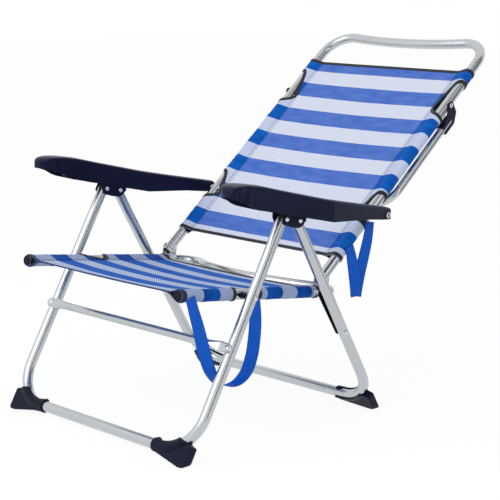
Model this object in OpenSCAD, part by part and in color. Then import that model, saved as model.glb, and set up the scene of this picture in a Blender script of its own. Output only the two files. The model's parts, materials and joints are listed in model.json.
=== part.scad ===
// Folding aluminium beach chair with a reclining back. Millimetres, +Z up,
// X across the chair, the sitter faces -Y. Side-view points are [distance behind
// the front bar, height]; shift_y puts the middle of the footprint at Y = 0.

/* [Frame tubes] */
// Outside diameter of the frame tubes
tube_d = 22; // [18:0.5:25]
// Wall of every tube
tube_wall = 1.2; // [0.8:0.1:2]
// Bend radius of the leg corners, to the tube centre
leg_bend_r = 80; // [60:1:90]
// Front and rear leg tubes, centre distance from the middle
leg_x = 270; // [240:1:300]
// Seat and back tubes, centre distance from the middle
rail_x = 231; // [200:1:233]
// Height of the bottom bars' centres
bar_z = 20; // [18:0.5:24]
// Front bar to rear bar on the floor
wheelbase = 531; // [500:1:560]
// Tube past the last rivet at the leg tops
top_stub = 9; // [6:1:11]

/* [Seat] */
// Seat rail front end, behind the front bar
seat_front = 3; // [0:1:20]
// Seat rail height at its front end
seat_z = 320.7; // [315:0.1:325]
// Slope of the seat, down to the rear
seat_tilt = 7.05; // [5:0.05:9]
// Straight length of a seat rail
seat_rail = 412; // [404:1:416]
// Bend radius at the rear corners
seat_bend_r = 38; // [32:1:45]

/* [Back] */
// Back angle above the floor as photographed
back_tilt = 39.8; // [38:0.1:42]
// Back length from hinge to the top bar
back_len = 720; // [690:1:740]
// Bend radius of the top corners
back_bend_r = 60; // [50:1:70]
// Turn of the dipped top bar at each end
back_dip = 6.5; // [3:0.5:9]
// Tube past the hinge pin
back_stub = 12; // [9:1:14]

/* [Sling fabric] */
// Fabric thickness with its folded layer
cloth_t = 1.6; // [1.2:0.1:2.5]
// Gap between a sleeve and its tube
sleeve_gap = 0.4; // [0.3:0.05:0.8]
// Sling plane above the tube centres
sling_lift = 4; // [2:0.5:6]
// Width of the edge binding
binding = 8; // [6:0.5:10]
// Strap width
strap_w = 25; // [20:1:30]
// Strap thickness
strap_t = 1.8; // [1.5:0.1:2.5]

/* [Prop leg] */
// Prop tube diameter
prop_d = 18; // [16:0.5:20]
// Prop tube centre distance from the middle
prop_x = 236; // [232:0.5:237]
// Prop pivot, distance from the hinge along the back
prop_at = 520.5; // [500:0.5:540]
// Reach of the prop leg from its pivot
prop_reach = 290; // [270:1:295]
// Prop tube behind the back tube
prop_back = 28; // [24:0.5:30]
// Prop bend radius
prop_bend_r = 55; // [45:1:65]

/* [Armrests] */
// Inner face of an armrest
arm_in = 250.2; // [250:0.1:252]
// Width of an armrest at its front
arm_w = 52.8; // [48:0.4:58]
// How far the outer wall comes in towards the rear
arm_taper = 22; // [14:1:26]
// Wall of the hollow armrest
arm_wall = 3; // [2:0.25:4]
// Lock pin diameter
lock_d = 7; // [6:0.5:8]
// Room above the lock pin under the rack teeth
lock_gap = 0.8; // [0.5:0.1:1.5]
// Depth of a rack notch
notch_h = 3; // [2:0.5:4]

/* [Plates and fasteners] */
// Leg-top cheek thickness
cheek_t = 2.4; // [2:0.1:3]
// Steel hinge plate thickness
plate_t = 2; // [1.5:0.1:2.5]
// Link bar thickness
link_t = 2.5; // [2:0.1:3]
// Rivet and bolt shank diameter
rivet_d = 6; // [5:0.5:8]
// Hole clearance on the diameter for a turning rivet
run_fit = 0.12; // [0.04:0.02:0.2]
// Rivet head diameter
head_d = 11; // [10:0.5:13]
// Rivet head height
head_h = 2.2; // [1.5:0.1:3]
// Gap between faces that slide past each other
face_gap = 0.4; // [0.3:0.05:0.8]

/* [Brace and feet] */
// Front brace tube diameter
brace_d = 16; // [14:1:18]
// Brace rivets, distance down the leg from the top rivet
brace_at = 276; // [260:1:290]
// Flattened end thickness
brace_flat = 4; // [3:0.5:5]
// Foot shell over the tube
foot_shell = 3.2; // [2.5:0.1:4]
// Foot reach along the bar from the leg centre
foot_reach = 110; // [95:1:120]
// How far a foot follows the bend, in degrees
foot_turn = 52; // [40:1:60]
// Foot thickness across the leg plane at the corner
foot_block = 26; // [24:1:32]

/* [Hidden] */
$fn = 48;
shift_y = 470;
side_f = [[0, bar_z], [240, 446.4]];      // front leg: bar, top rivet
side_r = [[wheelbase, bar_z], [278, 439.6]];
pivot_a = [158.6, 301.4];                 // seat to front leg
pivot_g = [398, 271.9];                   // hinge plates to seat rail
hinge_rise = [4, 27.6];
pivot_h = pivot_g + hinge_rise;           // back to hinge plates
pivot_e = [548, 421];                     // armrest to back
pivot_d = [426, 190];                     // link to rear leg
pivot_l = [371, 275.2];                   // link to seat rail
lock_k = [256.5, 464.6];                  // lock pin
ang_f = atan2(side_f[1][1] - side_f[0][1], side_f[1][0] - side_f[0][0]);
ang_r = atan2(side_r[1][1] - side_r[0][1], side_r[1][0] - side_r[0][0]);
len_f = norm(side_f[1] - side_f[0]);
len_r = norm(side_r[1] - side_r[0]);
len_e = norm(pivot_e - pivot_h);
tube_r = tube_d / 2;
arm_out = arm_in + arm_w;
arm_rear = arm_out - arm_taper;
joint_bead = 0.1;                         // where two bends of a tube meet
seat_bow = [0.336, 0.527, 0.625];         // rise, run and length of a step of the bow
seat_u = [cos(seat_tilt), -sin(seat_tilt)];
seat_o = [seat_front, seat_z];
a_on_seat = (pivot_a - seat_o) * seat_u;
g_on_seat = (pivot_g - seat_o) * seat_u;
l_on_seat = (pivot_l - seat_o) * seat_u;
arm_follow = 0.44;                        // armrest turn per turn of the back
stops = [19.2, 0, -20, -39.8];            // four back positions from this one
silver = [0.78, 0.79, 0.8];
navy = [0.1, 0.12, 0.24];
steel = [0.62, 0.66, 0.67];
blue = [0.25, 0.42, 0.8];
black = [0.06, 0.06, 0.07];
mid_blue = [0.05, 0.3, 0.7];

// placing helpers

module at_side(p) { translate([0, p[0] - shift_y, p[1]]) children(); }
module plane_at(p, a) { at_side(p) rotate([a, 0, 0]) children(); }
module both() { for (s = [-1, 1]) scale([s, 1, 1]) children(); }
module x_rod(x0, x1, d) { translate([x0, 0, 0]) rotate([0, 90, 0]) cylinder(h = x1 - x0, d = d); }
module x_plate(x0, x1, pts) {
  translate([x0, -shift_y, 0]) rotate([90, 0, 90]) linear_extrude(x1 - x0) polygon(pts);
}
function arc_pts(c, r, a) = [for (i = [0:12]) c + r * [cos(a + i * 15), sin(a + i * 15)]];
function capsule(p, q, r) = let (a = atan2(q[1] - p[1], q[0] - p[0]))
  concat(arc_pts(q, r, a - 90), arc_pts(p, r, a + 90));
module seat_plane() { plane_at(seat_o, -seat_tilt) children(); }
module back_plane() { plane_at(pivot_h, back_tilt) children(); }
function turned(v, a) = [v[0] * cos(a) - v[1] * sin(a), v[0] * sin(a) + v[1] * cos(a)];

// bent tubes: a run is a list of [length] and [radius, turn]; it starts along +X

module run(segs, d, i = 0) {
  if (i < len(segs)) {
    if (len(segs[i]) == 1) {
      rotate([0, 90, 0]) cylinder(h = segs[i][0], d = d);
      translate([segs[i][0], 0, 0]) run(segs, d, i + 1);
    } else {
      r = segs[i][0];
      a = segs[i][1];
      s = a > 0 ? 1 : -1;
      if (abs(a) != 90) sphere(d = d + joint_bead);
      translate([0, s * r, 0]) {
        rotate([0, 0, a > 0 ? -90 : 90 + a])
          rotate_extrude(angle = abs(a), $fn = 96) translate([r, 0]) circle(d = d);
        rotate([0, 0, a]) translate([0, -s * r, 0]) {
          if (abs(a) != 90) sphere(d = d + joint_bead);
          run(segs, d, i + 1);
        }
      }
    }
  }
}
module tube(segs, d) {
  n = len(segs) - 1;
  inner = [for (i = [0:n]) (i == 0 || i == n) ? [segs[i][0] + 1] : segs[i]];
  difference() {
    run(segs, d);
    translate([-1, 0, 0]) run(inner, d - 2 * tube_wall);
  }
}

// the leg frames, in their own plane: X across, Y up the leg from the bar

function leg_run(l) = [[l - leg_bend_r], [leg_bend_r, 90], [2 * (leg_x - leg_bend_r)],
  [leg_bend_r, 90], [l - leg_bend_r]];
module leg_tube(l, d) {
  translate([-leg_x, l, 0]) rotate([0, 0, -90]) run(leg_run(l), d);
}
module leg_frame(l) {
  translate([-leg_x, l, 0]) rotate([0, 0, -90]) tube(leg_run(l), tube_d);
}
module rivet_bore(p, x0, x1, d) { both() at_side(p) x_rod(x0, x1, d); }

module front_leg_frame() {
  color(silver) difference() {
    plane_at(side_f[0], ang_f) leg_frame(len_f + top_stub);
    rivet_bore(pivot_a, leg_x - 20, leg_x + 20, rivet_d);
    rivet_bore(side_f[1], leg_x - 20, leg_x + 20, rivet_d);
    both() plane_at(side_f[1], ang_f) translate([leg_x, -brace_at, 0])
      cylinder(h = 30, d = rivet_d - 1);
  }
}
module rear_leg_frame() {
  color(silver) difference() {
    plane_at(side_r[0], ang_r) leg_frame(len_r + top_stub);
    rivet_bore(side_r[1], leg_x - 20, leg_x + 20, rivet_d + run_fit);
    rivet_bore(pivot_d, leg_x, leg_x + 20, rivet_d);
  }
}

// front brace: a round tube whose flat ends lie on the front of the legs

brace_off = tube_r + brace_flat / 2;
module front_brace() {
  half = leg_x - 30;
  color(silver) plane_at(side_f[1], ang_f) translate([0, -brace_at, brace_off + 0.05]) {
    difference() {
      union() {
        x_rod(-half, half, brace_d);
        for (s = [-1, 1]) scale([s, 1, 1]) {
          translate([half - 12, -brace_d / 2 - 1.5, -brace_flat / 2])
            cube([leg_x - half + 12, brace_d + 3, brace_flat]);
          translate([leg_x, 0, -brace_flat / 2]) cylinder(h = brace_flat, d = brace_d + 3);
        }
      }
      x_rod(-half + 12, half - 12, brace_d - 2 * tube_wall);
      for (s = [-1, 1]) translate([s * leg_x, 0, -10]) cylinder(h = 20, d = rivet_d - 1);
    }
  }
}
module brace_rivets() {
  color(steel) plane_at(side_f[1], ang_f) for (s = [-1, 1])
    translate([s * leg_x, -brace_at, 0]) {
      translate([0, 0, tube_r - 5]) cylinder(h = brace_flat + 5.5, d = rivet_d - 1.1);
      translate([0, 0, tube_r + brace_flat + 0.1]) cylinder(h = head_h, d = head_d);
    }
}

// feet: a moulded corner that wraps the outside of the bend and stands flat

module foot(p, a, l) {
  reach = leg_x - foot_reach;
  outer = leg_x;
  bend = [leg_x - leg_bend_r, leg_bend_r];
  ray = [sin(foot_turn), -cos(foot_turn)];
  difference() {
    intersection() {
      plane_at(p, a) union() {
        translate([-leg_x, l, 0]) rotate([0, 0, -90]) run(leg_run(l), tube_d + 2 * foot_shell);
        translate([0, 0, -foot_block / 2]) linear_extrude(foot_block)
          polygon([[reach + 20, -60], [outer - 21, -60], [outer - 10, -23], [outer, 14],
            [outer - 4, 24], [outer - 22, 16], [outer - 46, -2], [reach + 20, -8]]);
        translate([0, 0, -tube_r]) linear_extrude(tube_d)
          polygon([[reach, -60], [leg_x - 40, -60], [leg_x - 40, 0], [reach, 0]]);
      }
      translate([reach, p[0] - shift_y - 60, 0]) cube([foot_reach + 30, 120, 60]);
      plane_at(p, a) translate([0, 0, -60]) linear_extrude(120)
        polygon([[reach, -60], bend + 130 * [ray[0], ray[1]] - [0, 60], bend + 130 * ray,
          bend + 40 * ray, [reach, 20]]);
    }
    plane_at(p, a) leg_tube(l, tube_d + 0.2);
  }
}
module screw(p, a) {
  plane_at(p, a) translate([leg_x - foot_reach + 16, tube_r + foot_shell + 0.1, 0])
    rotate([-90, 0, 0]) cylinder(h = 2.4, d = 7);
}
module front_left_foot() { color(navy) foot(side_f[0], ang_f, len_f); }
module front_right_foot() { color(navy) scale([-1, 1, 1]) foot(side_f[0], ang_f, len_f); }
module rear_left_foot() { color(navy) foot(side_r[0], ang_r, len_r); }
module rear_right_foot() { color(navy) scale([-1, 1, 1]) foot(side_r[0], ang_r, len_r); }
module front_foot_screws() { color(black) both() screw(side_f[0], ang_f); }
module rear_foot_screws() { color(black) both() screw(side_r[0], ang_r); }

// leg-top brackets: two cheeks and a front web, riveted to the front leg

cheek_pts = [[226, 448], [231, 436], [252, 428.5], [274, 424.5], [282, 427], [295, 437.5],
  [294, 448], [275, 470], [262, 476.5], [243, 474.5], [226, 459.5]];
cheek_in = leg_x - tube_r - face_gap;
cheek_out = leg_x + tube_r + face_gap;
module top_bracket() {
  difference() {
    union() {
      x_plate(cheek_in - cheek_t, cheek_in, cheek_pts);
      x_plate(cheek_out, cheek_out + cheek_t, cheek_pts);
      x_plate(cheek_in - 0.1, cheek_out + 0.1, [[226, 459.5], [243, 474.5], [262, 476.5],
        [262, 474.5], [244, 472.3], [228, 458]]);
    }
    at_side(side_f[1]) x_rod(leg_x - 20, leg_x + 20, rivet_d + 0.02);
    at_side(side_r[1]) x_rod(leg_x - 20, leg_x + 20, rivet_d + 0.02);
    at_side(lock_k) x_rod(leg_x - 20, leg_x + 20, lock_d + 0.02);
  }
}
module left_top_bracket() { color(navy) top_bracket(); }
module right_top_bracket() { color(navy) scale([-1, 1, 1]) top_bracket(); }
module lock_pins() {
  color(steel) both() at_side(lock_k) x_rod(arm_in + arm_wall + 1, arm_out - arm_wall - 1, lock_d);
}
module headed(p, x0, x1, d) {
  at_side(p) {
    x_rod(x0, x1, d);
    x_rod(x0 - head_h, x0, head_d);
    x_rod(x1, x1 + head_h, head_d);
  }
}
module front_top_rivets() {
  color(steel) both() headed(side_f[1], cheek_in - cheek_t, cheek_out + cheek_t, rivet_d);
}
module rear_leg_rivets() {
  color(steel) both() headed(side_r[1], cheek_in - cheek_t, cheek_out + cheek_t, rivet_d);
}

// seat frame: one tube, open at the front, bowed forward across the rear

// The crossbar is two corner arcs with a bow between them. The centres of a corner and
// the bow lie on a line of whole steps, so the arcs meet exactly; the corner radius is
// the nearest one that allows it.
bow_n = round((rail_x - seat_bend_r) / seat_bow[0]);
bow_corner = [bow_n * seat_bow[0], seat_rail];
bow_mid = [0, seat_rail + bow_n * seat_bow[1]];
corner_r = rail_x - bow_corner[0];
module ring_arc(c, r, d, wedge) {
  intersection() {
    translate([c[0], c[1], 0]) rotate_extrude($fn = 96) translate([r, 0]) circle(d = d);
    translate([0, 0, -d]) linear_extrude(2 * d) polygon(wedge);
  }
}
module bowed_frame(d, start) {
  c = bow_corner;
  far = 4 * corner_r;
  for (s = [-1, 1]) scale([s, 1, 1]) {
    translate([rail_x, start, 0]) rotate([-90, 0, 0]) cylinder(h = seat_rail - start, d = d);
    ring_arc(c, corner_r, d, [c, c + [far, 0], c + [far, far], bow_mid]);
  }
  ring_arc(bow_mid, bow_n * seat_bow[2] - corner_r, d,
    [bow_mid, [-c[0], c[1]], [0, c[1] - far], c]);
}
module seat_frame() {
  color(silver) difference() {
    seat_plane() difference() {
      bowed_frame(tube_d, 0);
      bowed_frame(tube_d - 2 * tube_wall, -1);
    }
    rivet_bore(pivot_a, rail_x - 20, rail_x + 20, rivet_d + run_fit);
    rivet_bore(pivot_g, rail_x - 20, rail_x + 20, rivet_d);
    rivet_bore(pivot_l, rail_x, rail_x + 20, rivet_d + run_fit);
  }
}
module seat_end_caps() {
  color(black) seat_plane() for (s = [-1, 1]) translate([s * rail_x, 0, 0]) rotate([90, 0, 0]) {
    cylinder(h = 2.5, d = tube_d);
    translate([0, 0, -14]) cylinder(h = 14, d = tube_d - 2 * tube_wall - 0.1);
  }
}
seat_face = rail_x + tube_r;
leg_face = leg_x - tube_r;
module seat_pivot_bolts() {
  color(steel) both() headed(pivot_a, rail_x - tube_r - 0.2, leg_x + tube_r + 0.2, rivet_d);
}
module seat_pivot_spacers() {
  color(black) both() at_side(pivot_a) difference() {
    x_rod(seat_face + 0.4, leg_face - 0.4, 14);
    x_rod(seat_face - 1, leg_face + 1, rivet_d + run_fit);
  }
}

// steel hinge plates: a pair on each side, from the seat rail to the back tube

module hinge_plate(x0) {
  difference() {
    x_plate(x0, x0 + plate_t, capsule(pivot_g, pivot_h, 9));
    at_side(pivot_g) x_rod(x0 - 1, x0 + 5, rivet_d + 0.02);
    at_side(pivot_h) x_rod(x0 - 1, x0 + 5, rivet_d + run_fit);
  }
}
hinge_in = rail_x - tube_r - face_gap - plate_t;
hinge_out = rail_x + tube_r + face_gap;
module hinge_pair() {
  hinge_plate(hinge_in);
  hinge_plate(hinge_out);
}
module left_hinge_plates() { color(steel) hinge_pair(); }
module right_hinge_plates() { color(steel) scale([-1, 1, 1]) hinge_pair(); }
module hinge_plate_rivets() {
  color(steel) both() headed(pivot_g, hinge_in, hinge_out + plate_t, rivet_d);
}
module back_hinge_pins() {
  color(steel) both() headed(pivot_h, hinge_in - 0.2, hinge_out + plate_t + 0.2, rivet_d);
}

// back frame: one tube, dipped across the top

back_rail = back_len - back_bend_r + back_stub;
dip_run = 5;                              // straight between a corner and the dip
dip_r = (rail_x - back_bend_r * (1 + sin(back_dip)) - dip_run * cos(back_dip)) / sin(back_dip);
module back_frame() {
  corner = [back_bend_r, -(90 + back_dip)];
  color(silver) difference() {
    back_plane() translate([-rail_x, -back_stub, 0]) rotate([0, 0, 90])
      tube([[back_rail], corner, [dip_run], [dip_r, 2 * back_dip], [dip_run], corner,
        [back_rail]], tube_d);
    rivet_bore(pivot_h, rail_x - 20, rail_x + 20, rivet_d + run_fit);
    rivet_bore(pivot_e, rail_x - 20, rail_x + 20, rivet_d);
    back_plane() for (s = [-1, 1]) translate([s * rail_x, prop_at, 0])
      x_rod(-20, 20, rivet_d);
  }
}

// prop leg: a U tube in two moulded brackets that turn on rivets through the back

prop_face = rail_x + tube_r + face_gap;
module prop_leg() {
  leg = prop_reach - prop_bend_r - (prop_at - tube_top);
  color(silver) back_plane() translate([-prop_x, tube_top, -prop_back]) rotate([0, 0, -90])
    tube([[leg], [prop_bend_r, 90], [2 * (prop_x - prop_bend_r)], [prop_bend_r, 90], [leg]],
      prop_d);
}
prop_skin = 2.4;                          // plate and socket wall of the prop bracket
socket_top = prop_at - tube_r - 4;        // clears the back tube when the leg is square to it
socket_low = prop_at - 52;
socket_r = prop_d / 2 + prop_skin;
socket_end = 3;
tube_top = socket_top - socket_end - 0.2;
module prop_bracket() {
  out = prop_face + prop_skin;
  back_plane() difference() {
    union() {
      translate([prop_face, 0, 0]) rotate([90, 0, 90]) linear_extrude(prop_skin)
        polygon([[prop_at - 9, 2], [prop_at - 7, 7], [prop_at, 10], [prop_at + 7, 7],
          [prop_at + 9.5, 1], [prop_at + 6, -24], [socket_top, -prop_back - socket_r],
          [socket_low + 6, -prop_back - socket_r], [socket_low, -prop_back - 6],
          [socket_low, -prop_back + 7], [socket_low + 22, -12]]);
      translate([prop_x, socket_low, -prop_back]) rotate([-90, 0, 0])
        cylinder(h = socket_top - socket_low, r = socket_r);
      translate([prop_x, socket_low, -prop_back - socket_r])
        cube([out - prop_x, socket_top - socket_low, 8]);
    }
    translate([prop_x, socket_low - 8, -prop_back]) rotate([-90, 0, 0])
      cylinder(h = socket_top - socket_low + 8 - socket_end, d = prop_d + 0.1);
    translate([out, prop_at - 70, -prop_back - 30]) cube([20, 100, 60]);
    translate([0, prop_at, 0]) x_rod(prop_face - 5, prop_face + 20, rivet_d + run_fit);
  }
}
module left_prop_bracket() { color(navy) prop_bracket(); }
module right_prop_bracket() { color(navy) scale([-1, 1, 1]) prop_bracket(); }
module prop_pivot_rivets() {
  end = prop_face + prop_skin + 0.2;
  color(steel) both() back_plane() translate([0, prop_at, 0]) {
    x_rod(rail_x - tube_r - 2, end, rivet_d - 0.02);
    x_rod(rail_x - tube_r - 2 - head_h, rail_x - tube_r - 2, head_d);
    x_rod(end, end + 1.6, head_d);
  }
}
module prop_washers() {
  color(black) both() back_plane() translate([0, prop_at, 0]) difference() {
    x_rod(rail_x - tube_r - 2, rail_x - tube_r - 0.3, 15);
    x_rod(rail_x - tube_r - 5, rail_x, rivet_d + 0.02);
  }
}

// armrests: hollow mouldings, open below, with a rack over the lock pin

arm_front = 76;                           // front end of an armrest, side view
arm_end = 562;
arm_top = [[arm_front, 509], [81, 517], [90, 521.5], [106, 524], [131, 523], [160, 518.5],
  [200, 508], [240, 497.5], [350, 472.5], [420, 459], [500, 444.5], [arm_end, 433.5]];
arm_low = [[arm_end, 411], [535, 412.5], [471, 420.5], [357, 429], [271, 447.5], [181, 467],
  [113, 484], [arm_front, 495]];
arm_roof = [for (p = arm_top) [p[0], p[1] - arm_wall]];
arm_turn = 357;                           // where the outer wall starts to slope in
module arm_plan(inset, s0, s1) {
  rotate([0, 0, 0]) translate([0, -shift_y, 300]) linear_extrude(300)
    polygon([[arm_in + inset, s0 + 26], [arm_in + inset + 3.5, s0 + 18],
      [arm_in + inset + 11, s0 + 10], [arm_in + inset + 18, s0 + 3.5],
      [arm_in + inset + 26, s0], [arm_out - inset - 12, s0], [arm_out - inset - 4, s0 + 3],
      [arm_out - inset, s0 + 11], [arm_out - inset, arm_turn], [arm_rear - inset, s1],
      [arm_in + inset, s1]]);
}
function pin_track(rho) = let (e = pivot_h + turned(pivot_e - pivot_h, rho))
  pivot_e + turned(lock_k - e, -arm_follow * rho);
module rack(x0) {
  ridge = [for (i = [0:12]) let (p = pin_track(21 - i * 63 / 12)) [p[0], p[1] + lock_d / 2 + lock_gap]];
  n = len(ridge) - 1;
  difference() {
    x_plate(x0, x0 + 3, concat(ridge, [[ridge[n][0], 504], [200, 500], [ridge[0][0], 478.5]]));
    for (r = stops) at_side(pin_track(r)) translate([0, 0, notch_h])
      x_rod(x0 - 1, x0 + 4, lock_d + 2 * lock_gap);
  }
}
module armrest() {
  difference() {
    union() {
      difference() {
        intersection() {
          x_plate(arm_in, arm_out, concat(arm_top, arm_low));
          arm_plan(0, arm_front, arm_end);
        }
        intersection() {
          x_plate(arm_in, arm_out, concat(arm_roof, [[arm_end, 400], [471, 400],
            [357, 410], [181, 440], [arm_front, 470]]));
          arm_plan(arm_wall, arm_front + arm_wall, arm_end - arm_wall);
        }
      }
      at_side(pivot_e) x_rod(arm_in, arm_rear + 1, 16);
      rack(arm_in + arm_wall - 0.1);
      rack(arm_out - arm_wall - 2.9);
    }
    at_side(pivot_e) x_rod(arm_in - 1, arm_out, 10 + run_fit);
    at_side(pivot_e) x_rod(arm_rear + 1.2, arm_out, 16);
  }
}
module left_armrest() { color(navy) armrest(); }
module right_armrest() { color(navy) scale([-1, 1, 1]) armrest(); }
module armrest_pivot_bolts() {
  color(steel) both() at_side(pivot_e) difference() {
    union() {
      x_rod(seat_face + 4.6, arm_rear + 2, 10);
      x_rod(arm_rear + 2, arm_rear + 4, 13);
    }
    x_rod(seat_face + 4, arm_rear - 5, rivet_d + run_fit);
  }
}
module armrest_bushes() {
  color(steel) both() at_side(pivot_e) {
    x_rod(rail_x - tube_r - 0.2, arm_rear - 7, rivet_d - 0.1);
    x_rod(rail_x - tube_r - 0.2 - head_h, rail_x - tube_r - 0.2, head_d);
    x_rod(seat_face + 0.4, seat_face + 4.2, 14);
  }
}

// links: flat bars from the seat rails to the rear legs

link_x = leg_face - face_gap - link_t;
link_ring = 12;                           // spacer ring between a link and the seat rail
module link() {
  difference() {
    union() {
      x_plate(link_x, link_x + link_t, capsule(pivot_l, pivot_d, 7.5));
      at_side(pivot_d) x_rod(link_x - 1.8, link_x + 0.1, 9);
    }
    at_side(pivot_l) x_rod(link_x - 1, link_x + 4, rivet_d + 0.02);
  }
}
module left_link() { color(black) link(); }
module right_link() { color(black) scale([-1, 1, 1]) link(); }
module link_rivets() {
  color(steel) both() at_side(pivot_l) {
    x_rod(rail_x + 3, link_x + link_t, rivet_d);
    x_rod(link_x - 2.2, link_x - 0.05, head_d);
    x_rod(seat_face + 0.3, seat_face + 4, link_ring);
  }
}
module rear_leg_studs() {
  color(steel) both() at_side(pivot_d) {
    x_rod(leg_x + 3, leg_x + tube_r + 0.2, rivet_d - 0.02);
    x_rod(leg_x + tube_r + 0.2, leg_x + tube_r + 0.2 + head_h, head_d);
  }
}

// sling fabric: a stretched panel with a sleeve round each tube

sleeve_r = tube_r + sleeve_gap;
module sleeve(y0, y1) {
  translate([rail_x, y0, 0]) rotate([-90, 0, 0]) difference() {
    cylinder(h = y1 - y0, r = sleeve_r + cloth_t);
    translate([0, 0, -1]) cylinder(h = y1 - y0 + 2, r = sleeve_r);
  }
}
module sling(y0, y1, cuts) {
  difference() {
    union() {
      for (s = [-1, 1]) scale([s, 1, 1]) sleeve(y0, y1);
      translate([-rail_x + 6, y0, sling_lift - cloth_t / 2]) cube([2 * rail_x - 12, y1 - y0, cloth_t]);
    }
    for (s = [-1, 1]) scale([s, 1, 1]) {
      translate([rail_x, y0 - 1, 0]) rotate([-90, 0, 0]) cylinder(h = y1 - y0 + 2, r = sleeve_r);
      for (c = cuts) translate([rail_x - c[2], c[0], -30]) cube([60, c[1] - c[0], 60]);
    }
  }
}
// a binding folds over an edge of the sling: round the sleeves, along the panel
module edge_band(y0, in_x) {
  difference() {
    union() {
      for (s = [-1, 1]) scale([s, 1, 1]) translate([rail_x, y0, 0]) rotate([-90, 0, 0])
        cylinder(h = binding, r = sleeve_r + cloth_t + 0.8);
      if (in_x > 0) translate([-rail_x, y0, sling_lift - cloth_t / 2 - 0.8])
        cube([2 * rail_x, binding, cloth_t + 1.6]);
    }
    for (s = [-1, 1]) translate([s * rail_x, y0 - 1, 0]) rotate([-90, 0, 0])
      cylinder(h = binding + 2, r = sleeve_r);
  }
}
module cut_band(c) {
  y0 = c[0];
  y1 = c[1];
  x0 = rail_x - c[2];
  for (s = [-1, 1]) scale([s, 1, 1]) difference() {
    union() {
      for (y = [y0, y1 - binding]) translate([rail_x, y, 0]) rotate([-90, 0, 0])
        cylinder(h = binding, r = sleeve_r + cloth_t + 0.8);
      translate([x0, y0, sling_lift - cloth_t / 2 - 0.8]) cube([binding, y1 - y0, cloth_t + 1.6]);
      for (y = [y0, y1 - binding]) translate([x0, y, sling_lift - cloth_t / 2 - 0.8])
        cube([rail_x - x0, binding, cloth_t + 1.6]);
    }
    translate([rail_x, y0 - 1, 0]) rotate([-90, 0, 0]) cylinder(h = y1 - y0 + 2, r = sleeve_r);
  }
}
seat_y0 = 2;
seat_y1 = 382.5;
seat_cut = [a_on_seat - 17, a_on_seat + 50, 22];
back_y0 = 55;
back_y1 = 626;
back_cuts = [[155, 234, 24], [486, 585, 24]];
module seat_fabric() {
  color(blue) difference() {
    seat_plane() sling(seat_y0 + binding + 0.1, seat_y1 - binding - 0.1, [seat_cut]);
    rivet_bore(pivot_l, rail_x, rail_x + 30, link_ring + 2 * sleeve_gap);
  }
}
module back_fabric() {
  color(blue) back_plane() sling(back_y0 + binding + 0.1, back_y1 - binding - 0.1, back_cuts);
}
function grown(c) = [c[0] + 0.1, c[1] - 0.1, c[2] - 0.1];
module seat_binding() {
  color(black) difference() {
    seat_plane() {
      edge_band(seat_y0, 1);
      edge_band(seat_y1 - binding, 1);
      cut_band(grown(seat_cut));
    }
    rivet_bore(pivot_l, rail_x, rail_x + 30, link_ring + 2 * sleeve_gap);
  }
}
module back_binding() {
  color(black) back_plane() {
    edge_band(back_y0, 1);
    edge_band(back_y1 - binding, 1);
    for (c = back_cuts) cut_band(grown(c));
  }
}

// webbing straps: a carrying loop on the seat rail and one on the back tube

strap_x = rail_x + sleeve_r + cloth_t + 0.8;
function band_side(path, i, h) = let (
    a = path[max(i - 1, 0)],
    b = path[min(i + 1, len(path) - 1)],
    t = (b - a) / norm(b - a))
  path[i] + h * [-t[1], t[0]];
module band(path) {
  x_plate(strap_x, strap_x + strap_t, concat(
    [for (i = [0:len(path) - 1]) band_side(path, i, strap_w / 2)],
    [for (i = [len(path) - 1:-1:0]) band_side(path, i, -strap_w / 2)]));
}
module seat_strap() {
  color(mid_blue) band([[20, 318], [38, 266], [60, 208], [84, 158], [112, 136], [162, 132],
    [190, 154], [204, 214], [209, 294]]);
}
module back_strap() {
  color(mid_blue) {
    band([[458, 366], [470, 340], [486, 288], [495, 248]]);
    band([[536, 408], [528, 372], [512, 312], [495, 248]]);
  }
}

front_leg_frame();
rear_leg_frame();
front_brace();
brace_rivets();
front_right_foot();
front_left_foot();
rear_right_foot();
rear_left_foot();
front_foot_screws();
rear_foot_screws();
right_top_bracket();
left_top_bracket();
lock_pins();
front_top_rivets();
rear_leg_rivets();
seat_frame();
seat_end_caps();
seat_pivot_bolts();
seat_pivot_spacers();
right_hinge_plates();
left_hinge_plates();
hinge_plate_rivets();
back_hinge_pins();
back_frame();
prop_leg();
right_prop_bracket();
left_prop_bracket();
prop_pivot_rivets();
prop_washers();
right_armrest();
left_armrest();
armrest_pivot_bolts();
armrest_bushes();
right_link();
left_link();
link_rivets();
rear_leg_studs();
seat_fabric();
seat_binding();
back_fabric();
back_binding();
seat_strap();
back_strap();
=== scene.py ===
"""Dresses the folding beach chair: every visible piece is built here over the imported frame.

Lengths are millimetres until place() or a plane turns them into the frame's metres.
Side-view points are (distance behind the front floor bar, height).
"""
import json
import math

import bmesh
import bpy
import numpy as np
from mathutils import Matrix, Vector

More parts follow.
